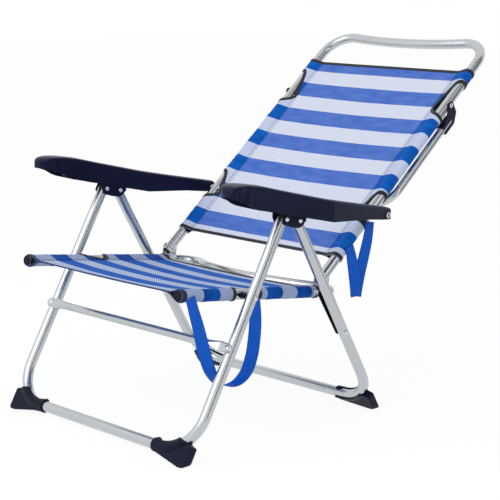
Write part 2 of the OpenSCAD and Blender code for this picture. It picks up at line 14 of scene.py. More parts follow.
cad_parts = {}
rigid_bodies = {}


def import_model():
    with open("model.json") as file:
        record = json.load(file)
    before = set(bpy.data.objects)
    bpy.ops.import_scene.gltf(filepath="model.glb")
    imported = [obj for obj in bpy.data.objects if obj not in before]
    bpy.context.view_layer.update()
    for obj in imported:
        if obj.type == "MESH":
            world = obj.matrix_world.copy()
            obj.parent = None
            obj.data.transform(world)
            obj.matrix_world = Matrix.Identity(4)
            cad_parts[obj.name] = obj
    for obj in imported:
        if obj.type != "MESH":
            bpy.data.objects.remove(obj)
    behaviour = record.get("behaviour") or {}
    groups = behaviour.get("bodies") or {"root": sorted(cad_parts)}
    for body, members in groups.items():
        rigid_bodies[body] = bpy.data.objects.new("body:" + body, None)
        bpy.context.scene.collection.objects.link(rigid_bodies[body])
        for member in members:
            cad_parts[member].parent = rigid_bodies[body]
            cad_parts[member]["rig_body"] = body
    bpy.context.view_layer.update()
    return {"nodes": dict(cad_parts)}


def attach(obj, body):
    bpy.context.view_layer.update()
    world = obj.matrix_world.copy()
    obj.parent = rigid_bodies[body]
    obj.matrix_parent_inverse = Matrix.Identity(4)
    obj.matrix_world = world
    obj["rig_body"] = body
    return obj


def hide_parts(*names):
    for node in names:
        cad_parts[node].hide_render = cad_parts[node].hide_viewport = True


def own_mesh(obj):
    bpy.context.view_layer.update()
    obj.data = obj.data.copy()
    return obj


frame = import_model()

# Sizes in millimetres and degrees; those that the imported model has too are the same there
MM = 0.001
SHIFT = 470.0
SIDES = {"left": 1, "right": -1}
TUBE_R, TUBE_WALL = 11.0, 1.2
RAIL_X, LEG_X = 231.0, 270.0
BAR_Z, WHEELBASE = 20.0, 531.0
LEG_BEND, TOP_STUB = 80.0, 9.0
FRONT_TOP, REAR_TOP = (240.0, 446.4), (278.0, 439.6)
BRACE_R, BRACE_AT = 8.0, 276.0
SEAT_TILT, BACK_TILT = -7.05, 39.8
SEAT_START, SEAT_RAIL, SEAT_BEND = (3.0, 320.7), 412.0, 38.0
SEAT_BOW = (0.336, 0.527, 0.625)
BACK_LEN, BACK_BEND, BACK_STUB = 720.0, 60.0, 12.0
BACK_DIP, BACK_FLAT = 6.5, 5.0
HINGE = (402.0, 299.5)
SEAT_PIVOT, SEAT_HINGE = (158.6, 301.4), (398.0, 271.9)
ARM_PIVOT, LINK_TOP, LINK_LOW = (548.0, 421.0), (371.0, 275.2), (426.0, 190.0)
PROP_AT, PROP_BACK, PROP_X, PROP_R = 520.5, 28.0, 236.0, 9.0
PROP_REACH, PROP_BEND = 290.0, 55.0
ARM_IN, ARM_OUT, ARM_REAR, ARM_WALL = 250.2, 303.0, 281.0, 3.0
HEAD_R, HEAD_H, SHANK_R = 5.5, 2.2, 3.0
CHEEKS, LINK_SIDES = (256.2, 283.8), (256.1, 258.6)
HINGE_PLATES, PLATE_T = (217.6, 242.4), 2.0
FOOT_X, FOOT_R, SCREW_X = 171.0, 14.2, 176.0
STRAP_W = 25.0


def place(x, s, z):
    """A point of the side view at x across the chair, in the frame's metres."""
    x, s, z = np.broadcast_arrays(x, s, z)
    return np.stack([x, s - SHIFT, z], -1) * MM


def plane(point, angle):
    """Maps (across, along, out) of a plane through a side-view point, turned up by an angle."""
    c, s = math.cos(math.radians(angle)), math.sin(math.radians(angle))

    def to(x, u, v):
        u, v = np.asarray(u, float), np.asarray(v, float)
        return place(x, point[0] + u * c - v * s, point[1] + u * s + v * c)
    return to


def slope(a, b):
    return math.degrees(math.atan2(b[1] - a[1], b[0] - a[0]))


FRONT_BAR, REAR_BAR = (0.0, BAR_Z), (WHEELBASE, BAR_Z)
FRONT_LEN = math.dist(FRONT_BAR, FRONT_TOP)
FRONT_LEG = plane(FRONT_BAR, slope(FRONT_BAR, FRONT_TOP))
REAR_LEG = plane(REAR_BAR, slope(REAR_BAR, REAR_TOP))
SEAT = plane(SEAT_START, SEAT_TILT)
BACK = plane(HINGE, BACK_TILT)


# Materials: shader sums are written as Python expressions

class Value:
    """A number socket of a material; sums with it add Math nodes."""

    def __init__(self, finish, socket):
        self.finish, self.socket = finish, socket

    def math(self, operation, *others):
        return self.finish.node("ShaderNodeMath", {"operation": operation}, (self, *others))[0]

    def __add__(self, other):
        return self.math("ADD", other)

    def __sub__(self, other):
        return self.math("SUBTRACT", other)

    def __rsub__(self, other):
        return (self * -1) + other

    def __mul__(self, other):
        return self.math("MULTIPLY", other)

    def __truediv__(self, other):
        return self.math("DIVIDE", other)

    __radd__, __rmul__ = __add__, __mul__

    def sin(self):
        return self.math("SINE")

    def abs(self):
        return self.math("ABSOLUTE")

    def fract(self):
        return self.math("FRACT")

    def ramp(self, low, high):
        """0 below low, 1 above high, smooth between."""
        settings = {"interpolation_type": "SMOOTHSTEP"}
        return self.finish.node("ShaderNodeMapRange", settings, (self, low, high, 0.0, 1.0))[0]


class Finish:
    """A material under construction; its Principled shader is fed by name."""

    def __init__(self, name, **constants):
        self.material = bpy.data.materials.new(name)
        self.material.use_nodes = True
        self.tree = self.material.node_tree
        self.shader = self.tree.nodes["Principled BSDF"]
        for socket, value in constants.items():
            self.shader.inputs[socket.replace("_", " ")].default_value = value

    def node(self, kind, settings=(), values=()):
        """A node with its settings made first, then its inputs by place or by name."""
        made = self.tree.nodes.new(kind)
        for key, value in dict(settings).items():
            setattr(made, key, value)
        pairs = values.items() if isinstance(values, dict) else enumerate(values)
        for key, value in pairs:
            if isinstance(value, Value):
                self.tree.links.new(value.socket, made.inputs[key])
            else:
                made.inputs[key].default_value = value
        return [Value(self, out) for out in made.outputs]

    def axes(self, output="Object"):
        """The three numbers of a texture coordinate, in metres."""
        outputs = self.tree.nodes.new("ShaderNodeTexCoord").outputs
        return self.node("ShaderNodeSeparateXYZ", (), (Value(self, outputs[output]),))

    def vector(self, x, y, z=0.0):
        return self.node("ShaderNodeCombineXYZ", (), (x, y, z))[0]

    def noise(self, vector, scale, detail=2.0):
        return self.node("ShaderNodeTexNoise", (), {"Vector": vector, "Scale": scale,
                                                    "Detail": detail})[0]

    def mix(self, share, a, b):
        """Colour a where share is 0, colour b where it is 1."""
        made = self.tree.nodes.new("ShaderNodeMix")
        made.data_type = "RGBA"
        for key, value in ((0, share), (6, a), (7, b)):
            if isinstance(value, Value):
                self.tree.links.new(value.socket, made.inputs[key])
            else:
                made.inputs[key].default_value = value
        return Value(self, made.outputs[2])

    def bump(self, height, depth_mm, strength=1.0):
        return self.node("ShaderNodeBump", (), {"Height": height, "Distance": depth_mm * MM,
                                                "Strength": strength})[0]

    def feed(self, **sockets):
        for socket, value in sockets.items():
            self.tree.links.new(value.socket, self.shader.inputs[socket.replace("_", " ")])
        return self.material


def srgb(r, g, b):
    """A colour written as 0-255 screen numbers, made linear."""
    c = np.array([r, g, b]) / 255.0
    c = np.where(c <= 0.04045, c / 12.92, ((c + 0.055) / 1.055) ** 2.4)
    return (*c.tolist(), 1.0)


def aluminium():
    """Satin drawn tube: fine lines along the tube, faint cloudy patches in the sheen."""
    f = Finish("satin_aluminium", Metallic=1.0)
    along, around, _ = f.axes("UV")
    lines = f.noise(f.vector(along * 6.0, around * 1500.0), 1.0, 3.0)
    clouds = f.noise(f.vector(along * 14.0, around * 40.0), 1.0, 2.0)
    tone = f.mix(lines * 0.6 + clouds * 0.4, srgb(180, 185, 189), srgb(202, 206, 209))
    return f.feed(Base_Color=tone, Roughness=lines * 0.05 + clouds * 0.05 + 0.20,
                  Normal=f.bump(lines, 0.008, 0.25))


def steel():
    """Bright plated steel for rivets, bolts and hinge plates."""
    f = Finish("plated_steel", Metallic=1.0)
    x, y, z = f.axes()
    grain = f.noise(f.vector(x, y, z), 900.0, 3.0)
    patches = f.noise(f.vector(x, y, z), 60.0, 2.0)
    tone = f.mix(patches, srgb(196, 200, 204), srgb(232, 234, 236))
    return f.feed(Base_Color=tone, Roughness=grain * 0.14 + 0.16,
                  Normal=f.bump(grain, 0.03, 0.4))


def moulding(name, dark, pale, gloss):
    """Moulded plastic: spark-eroded grain, and faint flow marks in the colour and gloss."""
    f = Finish(name, Specular_IOR_Level=0.24, Specular_Tint=(0.42, 0.5, 1.0, 1.0))
    x, y, z = f.axes()
    grain = f.noise(f.vector(x, y, z), 1400.0, 2.0)
    flow = f.noise(f.vector(x * 9.0, y * 5.0, z * 16.0), 1.0, 2.0)
    tone = f.mix(flow.ramp(0.35, 0.7) * 0.7 + grain * 0.3, dark, pale)
    return f.feed(Base_Color=tone, Roughness=grain * 0.12 + flow * 0.06 + gloss,
                  Normal=f.bump(grain, 0.05, 0.35))


def sling_mesh(name, first, pitch, width, seam, panel_blue_lit_through, sleeve_blue, light, light_edge,
               sleeve_light, sleeve_share):
    """Coated mesh in broad stripes across the cloth. UV is (across, along) in metres: blue
    bands repeat each pitch; the light bands carry slanting ribs of thread. Light shining
    through the single cloth of the panel is painted into its colours; outside the seam the
    cloth is double, lets less light through and is painted a deeper colour. Threads cross
    in a fine plain weave."""
    f = Finish(name, Specular_IOR_Level=0.07)
    across, along, _ = f.axes("UV")
    wander = f.noise(f.vector(across * 30.0, along * 30.0), 1.0, 1.0)
    phase = ((along - first + (wander - 0.5) * 0.0016) / pitch + 0.5).fract()
    from_middle = (phase - 0.5).abs() * pitch
    half = width / 2
    blue = 1 - from_middle.ramp(half - 0.0006, half + 0.0006)
    sleeve = across.abs().ramp(seam - 0.002, seam + 0.001)
    slant = (across + along * 1.15) / 0.0062
    ribs = (slant * 2 * math.pi).sin() * 0.5 + 0.5
    warp = (across * (2 * math.pi / 0.0017)).sin()
    weft = (along * (2 * math.pi / 0.0017)).sin()
    weave = warp * weft * 0.5 + 0.5
    cloud = f.noise(f.vector(across * 22.0, along * 60.0), 1.0, 3.0)
    # painted light: the single panel's blue is painted lighter for light shining through the mesh,
    # the double sleeve's blue deeper
    blue_tone = f.mix(sleeve, f.mix(cloud.ramp(0.1, 0.9), *panel_blue_lit_through),
                      f.mix(cloud.ramp(0.3, 0.7), *sleeve_blue))
    pale_tone = f.mix(ribs.ramp(0.55, 0.95) * 0.85, light, light_edge)
    # painted shade: the pale bands are painted darker on the double sleeve, which lets less light
    # through
    pale_tone = f.mix(sleeve * sleeve_share, pale_tone, sleeve_light)
    tone = f.mix(blue, pale_tone, blue_tone)
    tone = f.mix((1 - weave) * 0.06, tone, srgb(30, 60, 130))
    height = weave * 0.7 + ribs * (1 - blue) * 0.5
    return f.feed(Base_Color=tone, Roughness=weave * 0.15 + 0.5,
                  Normal=f.bump(height, 0.35, 0.6))


def tape():
    """Black woven binding: ribs across the tape. UV is (along, across) in metres."""
    f = Finish("black_binding_tape", Specular_IOR_Level=0.3, Sheen_Weight=0.1)
    along, across, _ = f.axes("UV")
    rib = (along * (2 * math.pi / 0.0013)).sin() * 0.5 + 0.5
    fleck = f.noise(f.vector(along * 600.0, across * 600.0), 1.0, 2.0)
    tone = f.mix(rib * 0.5 + fleck * 0.5, srgb(12, 12, 15), srgb(38, 38, 44))
    return f.feed(Base_Color=tone, Roughness=fleck * 0.15 + 0.5,
                  Normal=f.bump(rib * 0.7 + fleck * 0.3, 0.25, 0.6))


def webbing():
    """Blue strap webbing: chevron twill, denser edges. UV is (along, across) in metres."""
    f = Finish("blue_webbing", Specular_IOR_Level=0.2)
    along, across, _ = f.axes("UV")
    twill = ((along + across.abs() * 0.9) * (2 * math.pi / 0.0022)).sin() * 0.5 + 0.5
    cord = (across * (2 * math.pi / 0.0016)).sin() * 0.5 + 0.5
    soft = f.noise(f.vector(along * 50.0, across * 120.0), 1.0, 2.0)
    edge = across.abs().ramp(0.0105, 0.0122)
    tone = f.mix(twill * 0.35 + soft * 0.65, srgb(0, 76, 190), srgb(4, 108, 226))
    tone = f.mix(edge * 0.5, tone, srgb(0, 58, 158))
    return f.feed(Base_Color=tone, Roughness=twill * 0.15 + 0.45,
                  Normal=f.bump(twill * 0.6 + cord * 0.4, 0.3, 0.6))


def thread():
    """Dark blue sewing thread."""
    f = Finish("sewing_thread", Specular_IOR_Level=0.3)
    x, y, z = f.axes()
    fibre = f.noise(f.vector(x, y, z), 3000.0, 2.0)
    tone = f.mix(fibre, srgb(10, 22, 74), srgb(34, 58, 128))
    return f.feed(Base_Color=tone, Roughness=fibre * 0.2 + 0.45)


ALUMINIUM, STEEL = aluminium(), steel()
NAVY = moulding("navy_moulding", srgb(9, 11, 32), srgb(17, 20, 46), 0.30)
SOLE = moulding("foot_moulding", srgb(6, 8, 20), srgb(12, 15, 30), 0.34)
BLACK = moulding("black_moulding", srgb(8, 8, 11), srgb(20, 20, 24), 0.34)
TAPE, WEBBING, THREAD = tape(), webbing(), thread()
FINISHES = {"tube_aluminium": ALUMINIUM, "steel_fastener": STEEL, "navy_plastic": NAVY,
            "black_plastic": BLACK, "black_binding": TAPE, "blue_webbing": WEBBING}


# Meshes

def run_of(points):
    """The way along a line of points, at each of them."""
    return np.concatenate([[0], np.cumsum(np.linalg.norm(np.diff(points, axis=0), axis=1))])


def unit(vectors):
    return vectors / np.linalg.norm(vectors, axis=1)[:, None]


def uv_grid(a, b):
    """UVs in metres, from two sets of lengths in millimetres."""
    return np.stack(np.broadcast_arrays(a, b), -1) * MM


def quads(rows, cols, closed=False):
    """Corner numbers of a grid's four-sided faces; closed joins the last column to the first."""
    r = np.arange(rows - 1)[:, None] * cols
    c = np.arange(cols if closed else cols - 1)[None, :]
    d = (c + 1) % cols
    return np.stack([r + c, r + d, r + cols + d, r + cols + c], -1).reshape(-1, 4)


class Shell:
    """Gathers grids of points with their faces and UVs into one mesh."""

    def __init__(self):
        self.points, self.faces, self.uvs, self.count = [], [], [], 0

    def grid(self, points, uv=None, closed=False, capped=False):
        """points is rows by columns by 3, in metres; capped fills the first and last row."""
        rows, cols = points.shape[:2]
        first = self.count + np.arange(cols)[None]
        self.add(points.reshape(-1, 3), quads(rows, cols, closed),
                 None if uv is None else uv.reshape(-1, 2))
        if capped:
            self.faces += [first, first + (rows - 1) * cols]

    def add(self, points, faces, uv=None):
        self.points.append(points)
        self.faces.append(np.asarray(faces) + self.count)
        self.uvs.append(np.zeros((len(points), 2)) if uv is None else uv)
        self.count += len(points)

    def mesh(self, name):
        made = bpy.data.meshes.new(name)
        made.from_pydata(np.concatenate(self.points).tolist(), [],
                         [tuple(f) for block in self.faces for f in block.tolist()])
        return made

    def piece(self, name, node, slot, sharp=35.0, **others):
        mesh = self.mesh(name)
        corners = np.zeros(len(mesh.loops), np.int32)
        mesh.loops.foreach_get("vertex_index", corners)
        layer = mesh.uv_layers.new(name="along_across")
        layer.data.foreach_set("uv", np.concatenate(self.uvs)[corners].astype(np.float32).ravel())
        return dress(name, clean(mesh, 2e-6), node, slot, sharp, **others)


def clean(mesh, merge):
    """Merges points nearer than merge, in metres, and turns every face outwards."""
    work = bmesh.new()
    work.from_mesh(mesh)
    bmesh.ops.remove_doubles(work, verts=work.verts, dist=merge)
    bmesh.ops.recalc_face_normals(work, faces=work.faces)
    work.to_mesh(mesh)
    work.free()
    return mesh


def linked(name, data):
    made = bpy.data.objects.new(name, data)
    bpy.context.scene.collection.objects.link(made)
    return made


def dress(name, mesh, node, slot, sharp, material=None, stands=True):
    """Puts a finished mesh in the scene on its node's body, with its finish and smoothing; it
    stands for the node, unless it lies on another piece that does."""
    body, stands_for = frame["nodes"][node]["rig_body"], (node,) if stands else ()
    mesh.shade_smooth()
    mesh.set_sharp_from_angle(angle=math.radians(sharp))
    mesh.materials.clear()
    mesh.materials.append(material or FINISHES[slot])
    piece = linked(name, mesh)
    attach(piece, body)
    if stands_for:
        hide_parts(*stands_for)
    return piece


# Bent tubes

def bent(start, heading, runs, steps=28):
    """Centre line of a bent tube: a run is (length,) or (radius, turn), left turns positive."""
    line = [np.array([start], float)]
    a = math.radians(heading)
    for run in runs:
        here = line[-1][-1]
        if len(run) == 1:
            line.append(here + np.linspace(0, run[0], 3)[1:, None]
                        * np.array([math.cos(a), math.sin(a)]))
            continue
        radius, turn = run[0], math.radians(run[1])
        side = math.copysign(1, turn)
        centre = here + side * radius * np.array([-math.sin(a), math.cos(a)])
        k = a + np.linspace(0, turn, steps)[1:]
        line.append(centre + side * radius * np.stack([np.sin(k), -np.cos(k)], 1))
        a += turn
    return np.concatenate(line)


def tube(name, node, line, to, radius=TUBE_R):
    """A hollow tube carried along a flat line: circles square to it, with rounded lips. A lip
    is (distance from the end, radius), from a plug deep inside round to the outside."""
    at, inner = run_of(line), radius - TUBE_WALL
    lip = np.array([(22, 0), (22, inner), (1, inner), (0.35, inner), (0, inner + 0.3),
                    (0, radius - 0.35), (0.35, radius), (1.2, radius)])
    middle = at[(at > 2) & (at < at[-1] - 2)]
    way = np.concatenate([lip[:, 0], middle, at[-1] - lip[::-1, 0]])
    size = np.concatenate([lip[:, 1], np.full(len(middle), radius), lip[::-1, 1]])[:, None]
    px, pu, tx, tu = (np.interp(way, at, v)[:, None]
                      for v in (*line.T, *np.gradient(line, at, axis=0).T))
    length = np.hypot(tx, tu)
    turn = np.linspace(0, 2 * math.pi, 33)
    c, s = np.cos(turn) * size, np.sin(turn) * size
    shell = Shell()
    shell.grid(to(px - tu / length * c, pu + tx / length * c, s),
               uv_grid(way[:, None], turn * radius))
    shell.piece(name, node, "tube_aluminium")


def leg_line(low, top):
    """A leg frame: down one leg, round the floor corner, along the bar and up the other."""
    length = math.dist(low, top) + TOP_STUB
    leg, bend = (length - LEG_BEND,), (LEG_BEND, 90.0)
    return bent((-LEG_X, length), -90, [leg, bend, (2 * (LEG_X - LEG_BEND),), bend, leg])


def seat_line():
    """The seat tube: rails, tight corners, and a crossbar bowed towards the front."""
    rise, run, length = SEAT_BOW
    steps = round((RAIL_X - SEAT_BEND) / rise)
    corner = RAIL_X - steps * rise
    half_bow = 90.0 - math.degrees(math.atan2(run, rise))
    rail, bend = (SEAT_RAIL,), (corner, -(90.0 + half_bow))
    return bent((-RAIL_X, 0), 90, [rail, bend, (steps * length - corner, 2 * half_bow), bend,
                                   rail])


def back_line():
    """The back tube: rails, round corners, and a top bar that dips a little."""
    s, c = math.sin(math.radians(BACK_DIP)), math.cos(math.radians(BACK_DIP))
    dip_r = (RAIL_X - BACK_BEND * (1 + s) - BACK_FLAT * c) / s
    rail, flat = (BACK_LEN - BACK_BEND + BACK_STUB,), (BACK_FLAT,)
    bend = (BACK_BEND, -(90 + BACK_DIP))
    return bent((-RAIL_X, -BACK_STUB), 90, [rail, bend, flat, (dip_r, 2 * BACK_DIP), flat,
                                            bend, rail])


def prop_line():
    """The prop leg: a U tube hanging from its two sockets, clear of the tube they turn on."""
    top = PROP_AT - TUBE_R - 4 - 3.2
    leg, bend = (PROP_REACH - PROP_BEND - (PROP_AT - top),), (PROP_BEND, 90)
    return bent((-PROP_X, top), -90, [leg, bend, (2 * (PROP_X - PROP_BEND),), bend, leg])


tube("front_leg_tube", "front_leg_frame", leg_line(FRONT_BAR, FRONT_TOP), FRONT_LEG)
tube("rear_leg_tube", "rear_leg_frame", leg_line(REAR_BAR, REAR_TOP), REAR_LEG)
tube("seat_tube", "seat_frame", seat_line(), SEAT)
tube("back_tube", "back_frame", back_line(), BACK)
tube("prop_tube", "prop_leg", prop_line(), lambda x, u, v: BACK(x, u, v - PROP_BACK), PROP_R)


def brace_tube():
    """The brace: a round tube pressed flat at both ends. Its section is a rounded box whose
    half height falls and half width grows near the legs; the very end is a half circle."""
    reach, eye = LEG_X, 10.5
    end = reach + eye
    inward = np.array([0, .05, .2, .6, 1.4, 2.6, 4.2, 6.2, 8.4, 10.5, 14, 20, 26, 30, 34, 38, 43,
                       48, 53, 58, 64, 72, 84])
    x = np.concatenate([-end + inward, np.linspace(-end + 100, end - 100, 9),
                        (end - inward)[::-1]])
    d = end - np.abs(x)
    flat = np.clip((64 - d) / 36, 0, 1)
    flat = flat * flat * (3 - 2 * flat)
    tall = BRACE_R * (1 - flat) + 2.0 * flat
    wide = BRACE_R * (1 - flat) + 9.5 * flat + 1.6 * np.exp(-((d - 30) / 12) ** 2)
    wide = np.where(d < eye, np.sqrt(np.maximum(eye ** 2 - (eye - d) ** 2, 0)) * 9.5 / eye, wide)
    tall = np.where(d < 0.04, 0.0, tall * np.clip(0.72 + d * 0.35, 0, 1))
    power = 1 - 0.62 * flat
    turn = np.linspace(0, 2 * math.pi, 33)
    c, s = np.cos(turn)[None, :], np.sin(turn)[None, :]
    v = np.sign(s) * np.abs(s) ** power[:, None] * tall[:, None]
    u = np.sign(c) * np.abs(c) ** power[:, None] * wide[:, None]
    shell = Shell()
    shell.grid(FRONT_LEG(x[:, None], FRONT_LEN - BRACE_AT + u, TUBE_R + 2.05 + v),
               uv_grid(x[:, None], turn * BRACE_R))
    shell.piece("front_brace_tube", "front_brace", "tube_aluminium", 50)


brace_tube()


# Rivets, bolts and pins: turned on a lathe, so each is a profile spun about its axis

def lathe(shell, profile, origin, axis, around=28):
    """Spins (along, radius) pairs about an axis through origin; all in millimetres."""
    axis = np.array(axis, float) / np.linalg.norm(axis)
    side = np.cross(axis, [0, 0, 1] if abs(axis[2]) < 0.9 else [0, 1, 0])
    side /= np.linalg.norm(side)
    other = np.cross(axis, side)
    turn = np.linspace(0, 2 * math.pi, around, endpoint=False)
    ring = np.cos(turn)[:, None] * side + np.sin(turn)[:, None] * other
    p = np.asarray(profile, float)
    points = (np.asarray(origin) + p[:, 0, None, None] * axis + p[:, 1, None, None] * ring)
    shell.grid(points * MM, None, closed=True)


def dome(at, height=HEAD_H, radius=HEAD_R):
    """Half of a rivet head's profile, from its seat to its crown."""
    k = np.array([0, 0.10, 0.35, 0.62, 0.83, 0.95, 1.0])
    r = np.array([1, 1, 0.93, 0.74, 0.50, 0.25, 0.0])
    return [(at + height * a, radius * b) for a, b in zip(k, r)]


def rivet(x0, x1, shank=SHANK_R, height=HEAD_H):
    """A rivet's profile: a head beyond x0, the shank, and a head beyond x1."""
    low = [(x0 - (a - x0), r) for a, r in dome(x0, height)][::-1]
    return low + [(x0, shank), (x1, shank)] + dome(x1, height)


def spun(name, node, point, profile, slot="steel_fastener"):
    """A pair of fasteners through a side point, one on each side of the chair."""
    shell = Shell()
    for sign in (-1, 1):
        lathe(shell, profile, (0, point[0] - SHIFT, point[1]), (sign, 0, 0))
    shell.piece(name, node, slot, 40)


def stood(name, node, to, at, ahead, profile, slot="black_plastic", around=28):
    """A pair of small round pieces that stand on a plane's point and point ahead from it."""
    shell = Shell()
    for sign in (-1, 1):
        base = to(sign * at[0], at[1], 0.0) / MM
        tip = to(sign * at[0], at[1] + ahead[0], ahead[1]) / MM
        lathe(shell, profile, base, tip - base, around)
    shell.piece(name, node, slot, 40)


PROP_PIVOT = BACK(0.0, PROP_AT, 0.0)[1:] / MM + np.array([SHIFT, 0.0])
spun("front_top_rivet_heads", "front_top_rivets", FRONT_TOP, rivet(*CHEEKS))
spun("rear_top_rivet_heads", "rear_leg_rivets", REAR_TOP, rivet(*CHEEKS))
spun("seat_pivot_bolt_heads", "seat_pivot_bolts", SEAT_PIVOT, rivet(219.8, 281.2))
spun("hinge_plate_rivet_heads", "hinge_plate_rivets", SEAT_HINGE,
     rivet(HINGE_PLATES[0], HINGE_PLATES[1] + PLATE_T))
spun("back_hinge_pin_heads", "back_hinge_pins", HINGE, rivet(217.4, 244.6))
spun("prop_rivet_heads", "prop_pivot_rivets", PROP_PIVOT, rivet(218.0, 245.0, 2.99, 1.7))
spun("armrest_bolt_heads", "armrest_pivot_bolts", ARM_PIVOT,
     [(272.3, 0), (272.3, 3.05), (246.8, 3.05), (246.8, 4.7), (247.1, 5), (283, 5), (283, 6.3),
      (283.4, 6.5), (284.2, 6.4), (284.8, 5.9), (285, 5.0), (285, 3.6), (284.3, 3.2),
      (284.3, 0)])
spun("armrest_bush_sleeves", "armrest_bushes", ARM_PIVOT,
     [(217.6, 0), (217.8, 3.6), (218.6, 5.1), (219.8, 5.5), (219.8, 2.95), (242.4, 2.95),
      (242.4, 6.8), (242.7, 7), (246.0, 7), (246.2, 6.8), (246.2, 2.95), (272, 2.9), (272, 0)])
spun("link_rivet_heads", "link_rivets", LINK_TOP,
     [(235, 0), (235, 3), (242.3, 3), (242.3, 5.8), (242.6, 6), (245.7, 6), (246, 5.8),
      (246, 3), (253.9, 3), (253.9, 5.2), (254.3, 5.5), (256, 5.5), (256, 3), (258.5, 3),
      (258.5, 0)])
spun("rear_leg_stud_heads", "rear_leg_studs", LINK_LOW,
     [(274, 0), (274, 2.9), (281.2, 2.9)] + dome(281.2))
spun("seat_spacers", "seat_pivot_spacers", SEAT_PIVOT,
     [(242.4, 3.1), (242.4, 6.6), (242.8, 7), (244.6, 7), (245, 6.2), (250, 6.0), (256, 6.2),
      (256.4, 7), (258.2, 7), (258.6, 6.6), (258.6, 3.1), (242.4, 3.1)], "black_plastic")
spun("prop_pivot_washers", "prop_washers", PROP_PIVOT,
     [(218, 3.05), (218, 7.2), (218.3, 7.5), (219.4, 7.5), (219.7, 7.2), (219.7, 3.05),
      (218, 3.05)], "black_plastic")

# domed heads over the brace's pressed ends, square to the front legs
stood("brace_rivet_heads", "brace_rivets", FRONT_LEG, (LEG_X, FRONT_LEN - BRACE_AT), (0.0, 1.0),
      [(8, 0), (8, 2.4), (15.05, 2.4)] + dome(15.05, 2.0, 5.2), "steel_fastener")
# end caps of the seat rails: a domed disc with a raised rim inside the tube's lip
stood("seat_rail_caps", "seat_end_caps", SEAT, (RAIL_X, 0.0), (-1.0, 0.0),
      [(-14, 0), (-14, 9.6), (-0.2, 9.6), (-0.2, 10.8), (0.1, 11), (1.6, 11), (2.2, 10.7),
       (2.5, 10.1), (2.5, 9.2), (1.9, 8.7), (1.8, 6), (2.2, 3), (2.3, 0)], around=36)
# small round screws with a hollow for the driver, on the feet over the floor bars' ends
for end, to in (("front", FRONT_LEG), ("rear", REAR_LEG)):
    stood(f"{end}_foot_screw_heads", f"{end}_foot_screws", to, (SCREW_X, FOOT_R), (1.0, 0.0),
          [(-0.6, 0), (-0.6, 3.3), (0.2, 3.5), (0.9, 3.1), (1.3, 2.0), (1.4, 1.2), (0.8, 0.9),
           (0.7, 0)], around=20)


# Flat bars and plates

def capsule(a, b, radius, steps=15):
    """Outline of a bar with round ends, from side point a to side point b."""
    a, b = np.array(a, float), np.array(b, float)
    angle = math.atan2(b[1] - a[1], b[0] - a[0])
    k = np.linspace(-math.pi / 2, math.pi / 2, steps)
    ends = [p + radius * np.stack([np.cos(k + t), np.sin(k + t)], 1)
            for p, t in ((b, angle), (a, angle + math.pi))]
    return np.concatenate(ends)


def plates():
    """Steel hinge plates beside the seat rails, and the black links to the rear legs."""
    for side, sign in SIDES.items():
        hinges, link = Shell(), Shell()
        for x0 in HINGE_PLATES:
            one_side(hinges, capsule(SEAT_HINGE, HINGE, 9.0), x0, x0 + PLATE_T, sign)
        hinges.piece(f"{side}_hinge_cheeks", f"{side}_hinge_plates", "steel_fastener")
        one_side(link, capsule(LINK_TOP, LINK_LOW, 7.5), *LINK_SIDES, sign)
        lathe(link, [(254.3, 0), (254.3, 4.2), (254.6, 4.5), (256.2, 4.5), (256.2, 0)],
              (0, LINK_LOW[0] - SHIFT, LINK_LOW[1]), (sign, 0, 0))
        link.piece(f"{side}_link_bar", f"{side}_link", "black_plastic")


def one_side(shell, outline, x0, x1, sign, edge=0.4):
    """A plate with eased edges on one side of the chair: its outline at four depths."""
    ahead = unit(np.roll(outline, -1, 0) - np.roll(outline, 1, 0))
    inward = np.stack([-ahead[:, 1], ahead[:, 0]], 1)
    rows = [place(sign * x, *(outline + inward * draw).T)
            for x, draw in ((x0, edge), (x0 + edge, 0), (x1 - edge, 0), (x1, edge))]
    shell.grid(np.stack(rows), closed=True, capped=True)


plates()


# Mouldings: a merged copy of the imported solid, remeshed finely and eased at its edges

BOX_FACES = [(0, 1, 3, 2), (4, 6, 7, 5), (0, 4, 5, 1), (2, 3, 7, 6), (0, 2, 6, 4), (1, 5, 7, 3)]


def before_leg(sign):
    """Corners of the space in front of a front leg's top, which its bracket leaves open."""
    x, u, v = np.meshgrid([259.6, 300], [FRONT_LEN - 60, FRONT_LEN + 60], [9.0, 60],
                          indexing="ij")
    return FRONT_LEG(sign * x.ravel(), u.ravel(), v.ravel())


def moulded(name, node, voxel, rounds, shell=None, material=NAVY, cut=None):
    """Without a shell it starts from the node's own mesh, else from the shell's closed parts;
    the box of corner points in cut is taken away from it."""
    mesh = shell.mesh(name) if shell else frame["nodes"][node].data.copy()
    rough = linked(name + "_rough", clean(mesh, 1e-5))
    if cut is not None:
        block = bpy.data.meshes.new(name + "_cut")
        block.from_pydata(cut.tolist(), [], BOX_FACES)
        away = rough.modifiers.new("cut", "BOOLEAN")
        away.object = bpy.data.objects.new(name + "_cut", clean(block, 1e-5))
        away.operation, away.solver = "DIFFERENCE", "EXACT"
    remesh = rough.modifiers.new("fine", "REMESH")
    remesh.mode, remesh.voxel_size = "VOXEL", voxel * MM
    ease = rough.modifiers.new("ease", "SMOOTH")
    ease.factor, ease.iterations = 0.5, rounds
    bpy.context.view_layer.update()
    final = bpy.data.meshes.new_from_object(
        rough.evaluated_get(bpy.context.evaluated_depsgraph_get()))
    final.name = name
    if cut is not None:
        bpy.data.objects.remove(away.object)
    bpy.data.objects.remove(rough)
    dress(name, final, node, "navy_plastic", 180.0, material)


